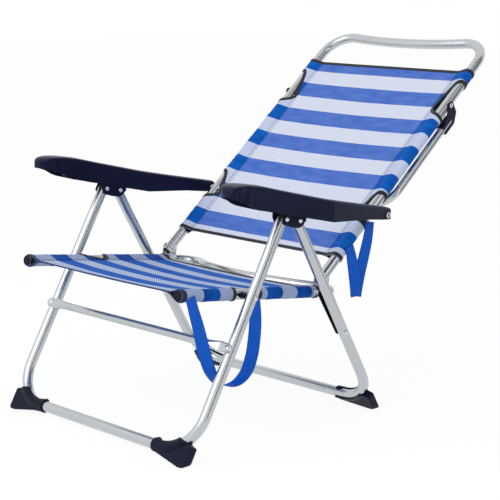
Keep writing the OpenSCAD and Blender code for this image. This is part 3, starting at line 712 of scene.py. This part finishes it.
def foot(side, sign, end):
    """A corner foot. A trough wraps the outside and the bottom of the bend and is open on the
    inner side above a low lip; under it a narrower block widens to the floor at the corner."""
    to, lean, face = ((FRONT_LEG, slope(FRONT_BAR, FRONT_TOP), 1) if end == "front"
                      else (REAR_LEG, slope(REAR_BAR, REAR_TOP), -1))
    centre = LEG_X - LEG_BEND
    shell = Shell()
    # the trough: an arc round the tube, from its top over the outer face to the inner lip, with
    # a tab under the screw at its start. It ends on a line across the bend, 39 mm under the
    # bend's centre and falling 0.3 to 1 outwards: that slope is 1.044 long, at 16.7 degrees
    x = np.concatenate([np.linspace(FOOT_X, centre, 14)[:-1], np.full(26, centre)])[:, None]
    trough_from, tab_from, trough_to, tab_long = 34, -16, 268, 15
    start = trough_from - (trough_from - tab_from) * np.clip((FOOT_X + tab_long - x) / 5, 0, 1)
    arc = np.radians(start + (trough_to - start) * np.linspace(0, 1, 34))
    ring_a = np.concatenate([arc, arc[:, ::-1]], 1)
    ring_r = np.concatenate([np.full(34, FOOT_R), np.full(34, TUBE_R + 0.15)])
    inward, out = -ring_r * np.cos(ring_a), ring_r * np.sin(ring_a)
    radius = LEG_BEND + inward
    last = np.arccos(39.0 / (1.044 * radius)) - math.radians(16.7)
    turn = np.concatenate([np.zeros(13), np.linspace(0, 1, 26)])[:, None] * last
    rows = to(sign * (x + radius * np.sin(turn)), LEG_BEND - radius * np.cos(turn), face * out)
    shell.grid(rows, closed=True)
    for row in (0, len(rows) - 1):
        k = np.arange(33)
        base = row * 68
        shell.faces.append(np.stack([base + k, base + k + 1, base + 66 - k, base + 67 - k], 1))
    # the block: upper edge along the trough, outer end square to the floor bar, sloping sole
    s, c = math.sin(math.radians(lean)), math.cos(math.radians(lean))
    k = np.radians(np.linspace(0, 49, 14))
    over = np.stack([centre + 91.2 * np.sin(k), LEG_BEND - 91.2 * np.cos(k)], 1)
    faces = []
    for half in (-9.0, 9.0):
        sole = -(BAR_Z + half * c) / s
        edge = np.concatenate([[[FOOT_X + 5, -11.3]], over,
                               [[268, 17.6], [270.6, 16], [271.5, 13], [271.5, sole + 7],
                                [270.6, sole + 3], [268.6, sole + 0.8], [265, sole],
                                [252, sole], [FOOT_X + 5, -13.2]]])
        faces.append(to(sign * edge[:, 0], edge[:, 1], half))
    first, ring = shell.count, np.arange(len(edge))[None]
    shell.grid(np.stack(faces), closed=True)
    shell.faces += [first + ring, first + len(edge) + ring[:, ::-1]]
    moulded(f"{end}_{side}_foot_shell", f"{end}_{side}_foot", 0.9, 4, shell, SOLE)


for side, sign in SIDES.items():
    for end in ("front", "rear"):
        foot(side, sign, end)
    moulded(f"{side}_leg_top_bracket", f"{side}_top_bracket", 0.6, 3, cut=before_leg(sign))
    moulded(f"{side}_prop_socket", f"{side}_prop_bracket", 0.6, 3)


# Armrests

ARM_FRONT, ARM_END = 73.0, 562.0
ARM_TOP = np.array([[73, 514], [74.5, 518.5], [77, 521.5], [81, 524], [87, 526], [96, 526.8],
                    [106, 526.8], [118, 526], [131, 524.2], [160, 519.4], [200, 509.6],
                    [240, 500.2], [350, 475], [420, 461.2], [500, 446.4], [562, 435]])
ARM_LOW = np.array([[73, 502.5], [80, 501], [92, 498], [104, 493.5], [113, 489], [122, 484],
                    [135, 479], [181, 467], [271, 447.5], [357, 429], [471, 420.5], [535, 412.5],
                    [562, 411]])


def bump_at(s, start, end, ease=2.0):
    """1 between start and end, easing to 0 outside."""
    return (np.clip((s - start) / ease + 0.5, 0, 1) * np.clip((end - s) / ease + 0.5, 0, 1))


def armrest(side, sign):
    """One armrest, open below. Its section is an arch: inner wall, crowned top and outer wall
    with rounded shoulders outside, the same arch a wall's width in behind. It is carried
    along the arm, drawn in at both ends; both walls have a rim and two upright ribs."""
    s = np.unique(np.concatenate([
        ARM_FRONT + np.array([0, 0.15, 0.5, 1, 2, 3.2, 4.6, 6, 8, 10]),
        np.arange(88, 150, 1.6), np.arange(150, 550, 8.0),
        ARM_END - np.array([0, 0.3, 1, 2.2, 4, 6.5, 9]), [353, 355, 357, 359, 361]]))
    top, low = np.interp(s, *ARM_TOP.T), np.interp(s, *ARM_LOW.T)
    near, far = s - ARM_FRONT, ARM_END - s

    def rounding(d, r):
        """How far a corner of radius r draws a wall in, d behind the end."""
        return r - np.sqrt(np.maximum(r * r - np.maximum(r - d, 0) ** 2, 0))

    tail = rounding(far, 5.0)
    outer = np.interp(s, [ARM_FRONT, 357, ARM_END], [ARM_OUT, ARM_OUT - 0.6, ARM_REAR])
    x_in, x_out = ARM_IN + rounding(near, 34.0) + tail, outer - rounding(near, 11.0) - tail
    draw = rounding(near, 5.0) + tail
    top, low = top - draw * 0.5, low + draw * 0.35
    round_ = np.minimum(np.minimum(5.0, (top - low) / 2.2), (x_out - x_in) / 2.2)
    k = np.linspace(0, math.pi / 2, 7)
    sn, cs = np.sin(k), np.cos(k)
    col = lambda a: a[:, None]
    crown = 1.2 * np.sin(np.linspace(0, math.pi, 9))[1:-1]
    across = np.linspace(0, 1, 9)[1:-1]

    def arch(a, b, roof, foot, r):
        """Points of an arch from foot to foot: a and b are its walls, roof its height."""
        left_x = np.concatenate([col(a), col(a) + col(r) * (1 - cs)], 1)
        left_z = np.concatenate([col(foot), col(roof) - col(r) * (1 - sn)], 1)
        mid_x = col(a + r) + col(b - a - 2 * r) * across
        mid_z = col(roof) + crown
        right_x = np.concatenate([col(b) - col(r) * (1 - cs[::-1]), col(b)], 1)
        right_z = np.concatenate([col(roof) - col(r) * (1 - sn[::-1]), col(foot)], 1)
        return (np.concatenate([left_x, mid_x, right_x], 1),
                np.concatenate([left_z, mid_z, right_z], 1))

    ox, oz = arch(x_in, x_out, top - 1.2, low, round_)
    depth = np.where((near > 3.2) & (far > 3.2), 1.0, 0.0)
    ceiling = low + 0.05 + (top - 1.2 - ARM_WALL - low) * depth
    r_in = np.minimum(4.0, np.maximum(ceiling - low, 0.02) / 2.2)
    ix, iz = arch(x_in + ARM_WALL, np.maximum(x_out - ARM_WALL, x_in + ARM_WALL + 9.5),
                  ceiling, low, r_in)

    def refine(p):
        """Splits the two straight walls of an arch into six rows each."""
        t = np.linspace(0, 1, 7)[1:-1]
        a = p[:, :1] + (p[:, 1:2] - p[:, :1]) * t
        b = p[:, -2:-1] + (p[:, -1:] - p[:, -2:-1]) * t
        return np.concatenate([p[:, :1], a, p[:, 1:-1], b, p[:, -1:]], 1)

    ox, oz, ix, iz = (refine(p) for p in (ox, oz, ix, iz))
    # under a rim, two upright ribs stand between hollows on both walls of the head
    below_rim = np.clip((col(top) - 9.0 - oz) / 2.0, 0, 1)
    panel = bump_at(s, 84, 91) + bump_at(s, 97, 112) + 0.35 * bump_at(s, 122, 540, 8.0)
    hollow = 2.6 * col(panel) * below_rim
    ox = ox + hollow * (np.clip((col(x_in) + 4 - ox) / 3, 0, 1)
                        - np.clip((ox - col(x_out) + 4) / 3, 0, 1))
    ring_x = np.concatenate([ox, ix[:, ::-1]], 1)
    ring_z = np.concatenate([oz, iz[:, ::-1]], 1)

    def closed(ring, middle):
        """Adds a point at each end of the arm, to which its first and last section close."""
        ends = np.broadcast_to(middle[[0, -1], None], (2, ring.shape[1]))
        return np.concatenate([ends[:1], ring, ends[1:]])

    ring_x, ring_z = closed(ring_x, (x_in + x_out) / 2), closed(ring_z, (top + low) / 2)
    s_all = np.concatenate([s[:1], s, s[-1:]])
    shell = Shell()
    shell.grid(place(sign * ring_x, s_all[:, None], ring_z), closed=True)
    shell.piece(f"{side}_armrest_moulding", f"{side}_armrest", "navy_plastic", 38)


for side, sign in SIDES.items():
    armrest(side, sign)


# Slings

SEAM_IN, SEAM_UP, WRAP_R = 28.0, 3.0, 11.9
BAND = 8.0


class Sling:
    """A sheet stretched between two rails and sewn back on itself as a sleeve round each.

    A point of the cloth has three numbers: across, the way along the cloth from its middle,
    over the rail, round it and back to the seam; along, the way up the rail; and proud, the
    height over the cloth's middle surface. The section is straight from seam to seam, then
    leaves for the tube at a tangent, follows it round and comes back below."""

    def __init__(self, to, start, end, cuts, sag, ripple_seed, taut):
        self.to, self.start, self.end, self.sag, self.taut = to, start, end, sag, taut
        reach = math.hypot(SEAM_IN, SEAM_UP)
        out, half = math.atan2(SEAM_UP, -SEAM_IN), math.acos(WRAP_R / reach)
        k = np.linspace(out - half, out + half - 2 * math.pi, 40)
        arc = np.stack([RAIL_X + WRAP_R * np.cos(k), WRAP_R * np.sin(k)], 1)
        seam = np.array([RAIL_X - SEAM_IN, SEAM_UP])
        flat = np.array([[0.0, SEAM_UP]]) + np.linspace(0, 1, 30)[:, None] * [seam[0], 0.0]
        back = np.array([[seam[0], SEAM_UP - 1.3], [seam[0] - 6.0, SEAM_UP - 1.3]])
        over = seam + np.linspace(0, 1, 12)[1:-1, None] * (arc[0] - seam)
        under = arc[-1] + np.linspace(0, 1, 12)[1:-1, None] * (back[0] - arc[-1])
        path = np.concatenate([flat, over, arc, under, back])
        self.path, self.way = path, run_of(path)
        t = unit(np.gradient(path, self.way, axis=0))
        self.normal = np.stack([-t[:, 1], t[:, 0]], 1)
        self.seam_way, self.half = seam[0], self.way[-1]
        self.fold = float(np.interp(0.0, -k, self.way[len(flat) + len(over):][:len(k)]))
        self.cuts = [self.outline(*cut) for cut in cuts]
        self.random = np.random.default_rng(ripple_seed).uniform(0, 2 * math.pi, 6)

    def outline(self, low, high, depth, tip_first):
        """(along, depth from the fold) of a cut-out: a quick side, a tip and a long diagonal."""
        t = np.array([0, .012, .04, .09, .15, .20, .25, .32, .45, .62, .80, .92, .97, .99, 1])
        d = np.array([0, .20, .42, .66, .87, .97, 1, .97, .87, .75, .62, .50, .36, .20, 0])
        fine = np.linspace(0, 1, 400)
        d = np.interp(fine, t, d)
        if not tip_first:
            d = d[::-1]
        u, d = low + (high - low) * fine, depth * d
        kernel = np.hanning(15)
        smooth = np.convolve(np.pad(d, 7, mode="edge"), kernel / kernel.sum(), "valid")
        smooth[0] = smooth[-1] = 0
        way = np.concatenate([[0], np.cumsum(np.hypot(np.diff(u), np.diff(smooth)))])
        at = np.linspace(0, way[-1], 56)
        return np.interp(at, way, u), np.interp(at, way, smooth)

    def depth(self, along):
        d = np.zeros_like(along)
        for u, cut in self.cuts:
            d = np.maximum(d, np.interp(along, u, cut, left=0, right=0))
        return d

    def point(self, across, along, proud=0.0):
        across, along, proud = np.broadcast_arrays(
            np.asarray(across, float), np.asarray(along, float), np.asarray(proud, float))
        side, a = np.where(across < 0, -1.0, 1.0), np.abs(across)
        x, v = np.interp(a, self.way, self.path[:, 0]), np.interp(a, self.way, self.path[:, 1])
        nx = np.interp(a, self.way, self.normal[:, 0])
        nv = np.interp(a, self.way, self.normal[:, 1])
        t = (along - self.start) / (self.end - self.start)
        ends = 1 - np.abs(2 * t - 1) ** self.taut
        hang = self.sag * np.clip(1 - (x / self.seam_way) ** 2, 0, 1) * np.clip(ends, 0.05, 1)
        r = self.random
        sleeve = (np.clip((a - self.seam_way - 4) / 10, 0, 1)
                  * np.clip((self.half - 8 - a) / 8, 0, 1))
        wave = (np.sin(along / 7.3 + a / 9 + r[0]) + np.sin(along / 12.7 - a / 14 + r[1] + side)
                + np.sin(along / 4.1 + a / 21 + r[2]))
        lift = 0.22 * np.clip(wave, -0.6, 3) * sleeve + proud
        ripple = 0.35 * np.sin(along / 31 + r[3]) * np.sin(x / 47 + r[4]) * (1 - sleeve)
        return self.to(side * (x + nx * lift), along, v + nv * lift - hang + ripple
                       * (a < self.seam_way) * (1 - (x / self.seam_way) ** 4))

    def cloth(self, name, node, material, stripes):
        """The sheet: a grid over the panel and the rails' tops, and one under each rail."""
        rows = [np.arange(self.start, self.end + 0.1, 5.0), [self.end]]
        rows = np.unique(np.round(np.concatenate(rows + [u for u, _ in self.cuts]), 3))
        rows = rows[np.concatenate([[True], np.diff(rows) > 0.05])]
        depth = self.depth(rows)[:, None]
        inner = self.seam_way
        base = np.concatenate([np.linspace(0, inner - 12, 26), inner - 9 + np.arange(4) * 3,
                               inner + np.linspace(3, self.fold - inner, 22)])
        base = np.concatenate([-base[:0:-1], base])
        rows, shell = rows[:, None], Shell()
        over = base * (self.fold - depth) / self.fold
        under = self.fold + depth + np.linspace(0, 1, 24) * (self.half - self.fold - depth)
        for across in (over, -under, under):
            shell.grid(self.point(across, rows), uv_grid(across, rows))
        sheet = shell.piece(name, node, "sling_fabric", 75, material=material)
        wall = sheet.modifiers.new("cloth", "SOLIDIFY")
        wall.thickness, wall.offset = 0.8 * MM, 0.0
        width, length = 2 * self.half, self.end - self.start
        holes = sum(4 * np.trapz(d, u) for u, d in self.cuts)
        width * MM
        length * MM
        (width * length - holes) * MM * MM

    def band(self, shell, across, along, n_across, n_along, capped):
        """A tape's rounded section carried along an edge; n points into the cloth."""
        k = np.array([-1.5, -1.1, 1.5, BAND - 2.6, BAND - 1.7, BAND - 1.5, BAND - 1.7,
                      BAND - 2.6, 1.5, -1.1])
        h = np.array([0, 1.25, 1.6, 1.5, 1.15, 0, -1.15, -1.5, -1.6, -1.25])
        points = self.point(across[:, None] + n_across[:, None] * k,
                            along[:, None] + n_along[:, None] * k, h[None, :])
        way = np.concatenate([[0], np.cumsum(np.hypot(np.diff(across), np.diff(along)))])
        shell.grid(points, uv_grid(way[:, None], k), closed=True, capped=capped)

    def binding(self, name, node):
        """Tapes over both ends of the sheet and round each cut-out."""
        shell = Shell()
        base = np.concatenate([np.linspace(0, self.seam_way, 30),
                               np.linspace(self.seam_way + 2, self.half, 50)])
        base = np.concatenate([-base[:0:-1], base])
        flat = np.zeros_like(base)
        self.band(shell, base, flat + self.start + 1.5, flat, flat + 1, True)
        self.band(shell, base, flat + self.end - 1.5, flat, flat - 1, True)
        for u, d in self.cuts:
            loop_u = np.concatenate([u, u[-2:0:-1]])
            loop_d = np.concatenate([-d, d[-2:0:-1]])
            tu, td = (np.roll(loop, -1) - np.roll(loop, 1) for loop in (loop_u, loop_d))
            size = np.hypot(tu, td)
            nu, nd = td / size, -tu / size
            kernel = np.array([0.25, 0.5, 0.25])
            for _ in range(3):
                nu = sum(w * np.roll(nu, i - 1) for i, w in enumerate(kernel))
                nd = sum(w * np.roll(nd, i - 1) for i, w in enumerate(kernel))
            size = np.hypot(nu, nd)
            nu, nd = nu / size, nd / size
            ring = np.concatenate([np.arange(len(loop_u)), [0]])
            for side in (-1, 1):
                self.band(shell, side * (self.fold + loop_d[ring]), loop_u[ring],
                          side * nd[ring], nu[ring], False)
        shell.piece(name, node, "black_binding", 60)

    def stitching(self, name, node):
        """Two rows of stitches beside each seam; a stitch is a short thread, thick in its
        middle and sunk at both ends."""
        rows = np.arange(self.start + BAND + 3, self.end - BAND - 3, 6.4)
        free = self.fold - self.depth(rows) - BAND - 1.5
        t, turn = np.array([-1, -0.6, 0, 0.6, 1.0]), np.arange(5) * 2 * math.pi / 5
        fat = 0.42 * np.array([0.05, 0.9, 1, 0.9, 0.05])
        rise = np.array([0.05, 0.5, 0.75, 0.5, 0.05])
        shell = Shell()
        for offset in (-2.0, 4.6):
            w = self.seam_way + offset
            at = rows[free > w]
            for side in (-1, 1):
                across = side * (w + fat[:, None] * np.cos(turn))
                proud = rise[:, None] + fat[:, None] * np.sin(turn) + 0.35
                along = np.broadcast_to((t * 2.1)[:, None], across.shape)
                points = self.point(across[None], at[:, None, None] + along[None], proud[None])
                first = np.arange(len(at))[:, None, None] * across.size
                faces = first + quads(5, 5, closed=True)
                shell.add(points.reshape(-1, 3), faces.reshape(-1, 4))
        shell.piece(name, node, "black_binding", 80, material=THREAD, stands=False)


SEAT_SLING = Sling(SEAT, 2.0, 382.5, [(139.8, 206.8, 42.0, False)], 6.5, 3, 11)
BACK_SLING = Sling(BACK, 55.0, 626.0, [(155.0, 239.0, 42.0, True), (478.0, 587.0, 42.0, True)],
                   5.0, 7, 3.5)
SEAM = SEAT_SLING.seam_way * MM
SEAT_CLOTH = sling_mesh("striped_seat_mesh", 0.0775, 0.087, 0.044, SEAM,
                        (srgb(0, 84, 186), srgb(2, 104, 210)),
                        (srgb(0, 66, 154), srgb(2, 84, 182)),
                        srgb(206, 220, 246), srgb(112, 144, 206),
                        srgb(134, 150, 190), 0.55)
# painted light: the back's cloth is the seat's mesh painted paler, its panel most, for light
# shining through it from behind
BACKLIT_BACK_CLOTH = sling_mesh("striped_back_mesh_painted_backlight", 0.098, 0.0862, 0.044, SEAM,
                        (srgb(66, 108, 200), srgb(100, 134, 216)),
                        (srgb(0, 84, 178), srgb(10, 102, 200)),
                        srgb(236, 241, 253), srgb(186, 200, 238),
                        srgb(176, 190, 232), 0.45)
SEAT_SLING.cloth("seat_sling_cloth", "seat_fabric", SEAT_CLOTH, "seat_tube")
BACK_SLING.cloth("back_sling_cloth", "back_fabric", BACKLIT_BACK_CLOTH, "back_tube")
SEAT_SLING.binding("seat_edge_tape", "seat_binding")
BACK_SLING.binding("back_edge_tape", "back_binding")
SEAT_SLING.stitching("seat_seam_stitches", "seat_fabric")
BACK_SLING.stitching("back_seam_stitches", "back_fabric")


# Straps

def ribbon(shell, centre, wide, rows, thick=1.5):
    """A flat strap: a thin rounded section carried along a smooth line through the centre
    points, its width along the given directions, both eased between their points."""
    centre, wide = np.array(centre, float), np.array(wide, float)
    key = run_of(centre)
    t = np.linspace(0, key[-1], rows)

    def smooth(values):
        slopes = np.gradient(values, key, axis=0)
        i = np.clip(np.searchsorted(key, t, side="right") - 1, 0, len(key) - 2)
        h = (key[i + 1] - key[i])[:, None]
        q = ((t - key[i])[:, None]) / h
        return ((2 * q ** 3 - 3 * q ** 2 + 1) * values[i] + (q ** 3 - 2 * q ** 2 + q) * h
                * slopes[i] + (3 * q ** 2 - 2 * q ** 3) * values[i + 1]
                + (q ** 3 - q ** 2) * h * slopes[i + 1])

    line, w = smooth(centre), smooth(wide)
    tangent = unit(np.gradient(line, axis=0))
    w = unit(w - tangent * np.sum(w * tangent, 1)[:, None])
    face = np.cross(tangent, w)
    a = np.array([-1, -0.97, -0.9, -0.45, 0, 0.45, 0.9, 0.97, 1, 0.97, 0.9, 0.45, 0, -0.45,
                  -0.9, -0.97]) * (STRAP_W / 2)
    b = np.array([0, 0.75, 1, 1, 1, 1, 1, 0.75, 0, -0.75, -1, -1, -1, -1, -1, -0.75]) * (thick / 2)
    points = (line[:, None] + w[:, None] * a[None, :, None] + face[:, None] * b[None, :, None])
    way = run_of(line)
    shell.grid(points * MM, uv_grid(way[:, None], a), closed=True, capped=True)
    return way[-1]


def across_side(points, x):
    """Side-view points as 3-D points, in millimetres, at x across the chair."""
    p = np.array(points, float)
    return np.stack([np.broadcast_to(x, len(p)), p[:, 0] - SHIFT, p[:, 1]], 1)


def turned_width(points, turns):
    """Width directions: square to the path in the side view, turned towards +X by degrees."""
    t = unit(np.gradient(np.array(points, float), axis=0))
    k = np.radians(turns)
    return np.stack([np.sin(k), -t[:, 1] * np.cos(k), t[:, 0] * np.cos(k)], 1)


def straps():
    loop = [[20, 316], [30, 288], [41, 258], [52, 224], [64, 190], [79, 159], [99, 137],
            [124, 127], [150, 130], [169, 146], [181, 175], [187, 212], [190, 252], [191, 288]]
    # flat on the rail's side at both ends; the width turns half a turn down, round and up
    turns = [-4, 4, 14, 28, 45, 62, 76, 88, 98, 112, 128, 140, 152, 168]
    x = np.array([245.8, 245.4, 245, 244.4, 243.6, 242.6, 242, 242, 243, 246, 248.5, 250, 249.6,
                  246.4])
    shell = Shell()
    length = ribbon(shell, across_side(loop, x), turned_width(loop, turns), 140)
    seat = shell.piece("seat_carry_strap", "seat_strap", "blue_webbing", 50)
    length * MM
    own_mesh(seat)
    shell = Shell()
    u = np.array([0.0, math.cos(math.radians(BACK_TILT)), math.sin(math.radians(BACK_TILT))])
    flat = np.array([0.45, 0.9, 0.0])
    near = across_side([[470, 358], [477, 334], [486, 296], [494, 250]],
                       np.array([245.8, 246.4, 247, 247.2]))
    far = across_side([[494, 250], [505, 296], [517, 334], [527, 366], [535, 404]],
                      np.array([245.4, 245.8, 246.2, 246.0, 245.4]))
    length = ribbon(shell, near, [u, u * 0.5 + flat * 0.5, flat, flat], 50)
    length += ribbon(shell, far, [flat, flat, flat * 0.7 + u * 0.3, u * 0.6 + flat * 0.4, u], 60)
    back = shell.piece("back_carry_strap", "back_strap", "blue_webbing", 50)
    length * MM


straps()

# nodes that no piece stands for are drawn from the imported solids
for thing in frame["nodes"].values():
    if not thing.hide_render:
        thing.data.materials.clear()
        thing.data.materials.append(STEEL)


# Floor, light and camera

AIM = Vector((0, 0, 0.4))
# the camera fitted to the photo: degrees round the chair, over the floor and tilted, and the
# focal length and the photo's width in pixels
CAMERA_TURN, CAMERA_RISE, CAMERA_ROLL = 44.54, 10.64, 0.71
FOCAL, PHOTO_WIDTH, SENSOR = 1458.5, 500.0, 36.0
# its distance and shifts, in the fit's millimetres, the fit's origin and its scale to the part's
FIT_AWAY, FIT_RIGHT, FIT_DOWN = 3291.5, 121.7, 29.1
FIT_ORIGIN, FIT_SCALE = 287.1, 0.92466


def staged(name, corners, material):
    mesh = bpy.data.meshes.new(name)
    mesh.from_pydata(corners, [], [(0, 1, 2, 3)])
    mesh.materials.append(material)
    panel = linked(name, mesh)
    return panel


def background_rays(tree):
    """1 for rays that see the background as it is: from the camera, off gloss, through glass."""
    path, most = tree.nodes.new("ShaderNodeLightPath"), None
    for name in ("Is Camera Ray", "Is Glossy Ray", "Is Transmission Ray"):
        ray = path.outputs[name]
        if most is None:
            most = ray
            continue
        either = tree.nodes.new("ShaderNodeMath")
        either.operation = "MAXIMUM"
        tree.links.new(most, either.inputs[0])
        tree.links.new(ray, either.inputs[1])
        most = either.outputs[0]
    return most


def floor():
    """A wide pale floor: white to the rays that see the background, with a faint shadow."""
    paper = Finish("pale_floor", Base_Color=(0.86, 0.86, 0.86, 1), Roughness=0.9,
                   Specular_IOR_Level=0.1)
    tree = paper.tree
    glow = tree.nodes.new("ShaderNodeEmission")
    glow.inputs["Strength"].default_value = 1.03
    share = tree.nodes.new("ShaderNodeMath")
    share.operation = "MULTIPLY"
    share.inputs[1].default_value = 0.9
    tree.links.new(background_rays(tree), share.inputs[0])
    mix = tree.nodes.new("ShaderNodeMixShader")
    tree.links.new(share.outputs[0], mix.inputs[0])
    tree.links.new(paper.shader.outputs[0], mix.inputs[1])
    tree.links.new(glow.outputs[0], mix.inputs[2])
    tree.links.new(mix.outputs[0], tree.nodes["Material Output"].inputs["Surface"])
    size = 14.0
    staged("studio_floor", [(-size, -size, 0), (size, -size, 0), (size, size, 0),
                            (-size, size, 0)], paper.material)


def world():
    """Even white studio air: full white where it is seen, softer as a light."""
    sky = bpy.data.worlds.new("studio_air")
    sky.use_nodes = True
    tree = sky.node_tree
    level = tree.nodes.new("ShaderNodeMapRange")
    level.inputs["To Min"].default_value = 0.62
    level.inputs["To Max"].default_value = 1.0
    tree.links.new(background_rays(tree), level.inputs["Value"])
    tree.links.new(level.outputs[0], tree.nodes["Background"].inputs["Strength"])
    tree.nodes["Background"].inputs["Color"].default_value = (1, 1, 1, 1)
    bpy.context.scene.world = sky


def lamp(name, at, size, power):
    """A soft box that points at the chair's middle."""
    light = bpy.data.lights.new(name, "AREA")
    light.shape, light.size, light.size_y, light.energy = "RECTANGLE", size[0], size[1], power
    thing = linked(name, light)
    thing.location = at
    thing.rotation_euler = (AIM - Vector(at)).to_track_quat("-Z", "Y").to_euler()


def flag(name, turn, rise, width, height, away=3.0, tone=0.03):
    """A dark studio card that only reflections see; it draws a dark line along each tube.
    It stands away metres off, turned to the right of the camera and raised, in degrees."""
    cloth = Finish(name + "_cloth", Base_Color=(tone, tone, tone * 1.15, 1), Roughness=1.0,
                   Specular_IOR_Level=0.0)
    azimuth, up = math.radians(CAMERA_TURN + turn), math.radians(rise)
    at = Vector((math.sin(azimuth) * math.cos(up), -math.cos(azimuth) * math.cos(up),
                 math.sin(up))) * away + AIM
    turned = (AIM - at).to_track_quat("-Z", "Y").to_matrix().to_4x4()
    turned.translation = at
    w, h = away * math.tan(math.radians(width / 2)), away * math.tan(math.radians(height / 2))
    corners = [turned @ Vector(c) for c in ((-w, -h, 0), (w, -h, 0), (w, h, 0), (-w, h, 0))]
    panel = staged(name, corners, cloth.material)
    panel.visible_camera = panel.visible_diffuse = panel.visible_shadow = False


def camera():
    """The photograph's view: a long lens from the sitter's left front, a little above."""
    data = bpy.data.cameras.new("camera")
    data.sensor_width, data.lens = SENSOR, FOCAL * SENSOR / PHOTO_WIDTH
    eye = linked("camera", data)
    azimuth, rise, roll = (math.radians(a) for a in (CAMERA_TURN, CAMERA_RISE, CAMERA_ROLL))
    back = np.array([math.sin(azimuth) * math.cos(rise), -math.cos(azimuth) * math.cos(rise),
                     math.sin(rise)])
    right = np.array([math.cos(azimuth), math.sin(azimuth), 0.0])
    up = np.cross(back, right)
    r = right * math.cos(roll) + up * math.sin(roll)
    u = up * math.cos(roll) - right * math.sin(roll)
    at = np.array([0, 0, 400.0]) + back * FIT_AWAY + r * FIT_RIGHT - u * FIT_DOWN
    at = (at + [0, FIT_ORIGIN, 0]) * FIT_SCALE - [0, SHIFT, 0]
    rows = [[*axes, a * MM] for axes, a in zip(np.stack([r, u, back], 1), at)]
    eye.matrix_world = Matrix(rows + [[0, 0, 0, 1]])
    bpy.context.scene.camera = eye


floor()
world()
camera()
flag("side_flag", 31, 28, 20, 60)
flag("low_flag", 87, -8, 12, 16, away=1.5)
flag("far_card", 84, 20, 24, 56, tone=0.2)
flag("top_flag", 0, 76, 90, 10)
lamp("key_softbox", (-0.5, -3.1, 2.9), (3.0, 2.4), 56)
lamp("fill_softbox", (3.2, -0.6, 2.2), (2.0, 2.0), 14)
bpy.context.scene.view_settings.view_transform = "Standard"
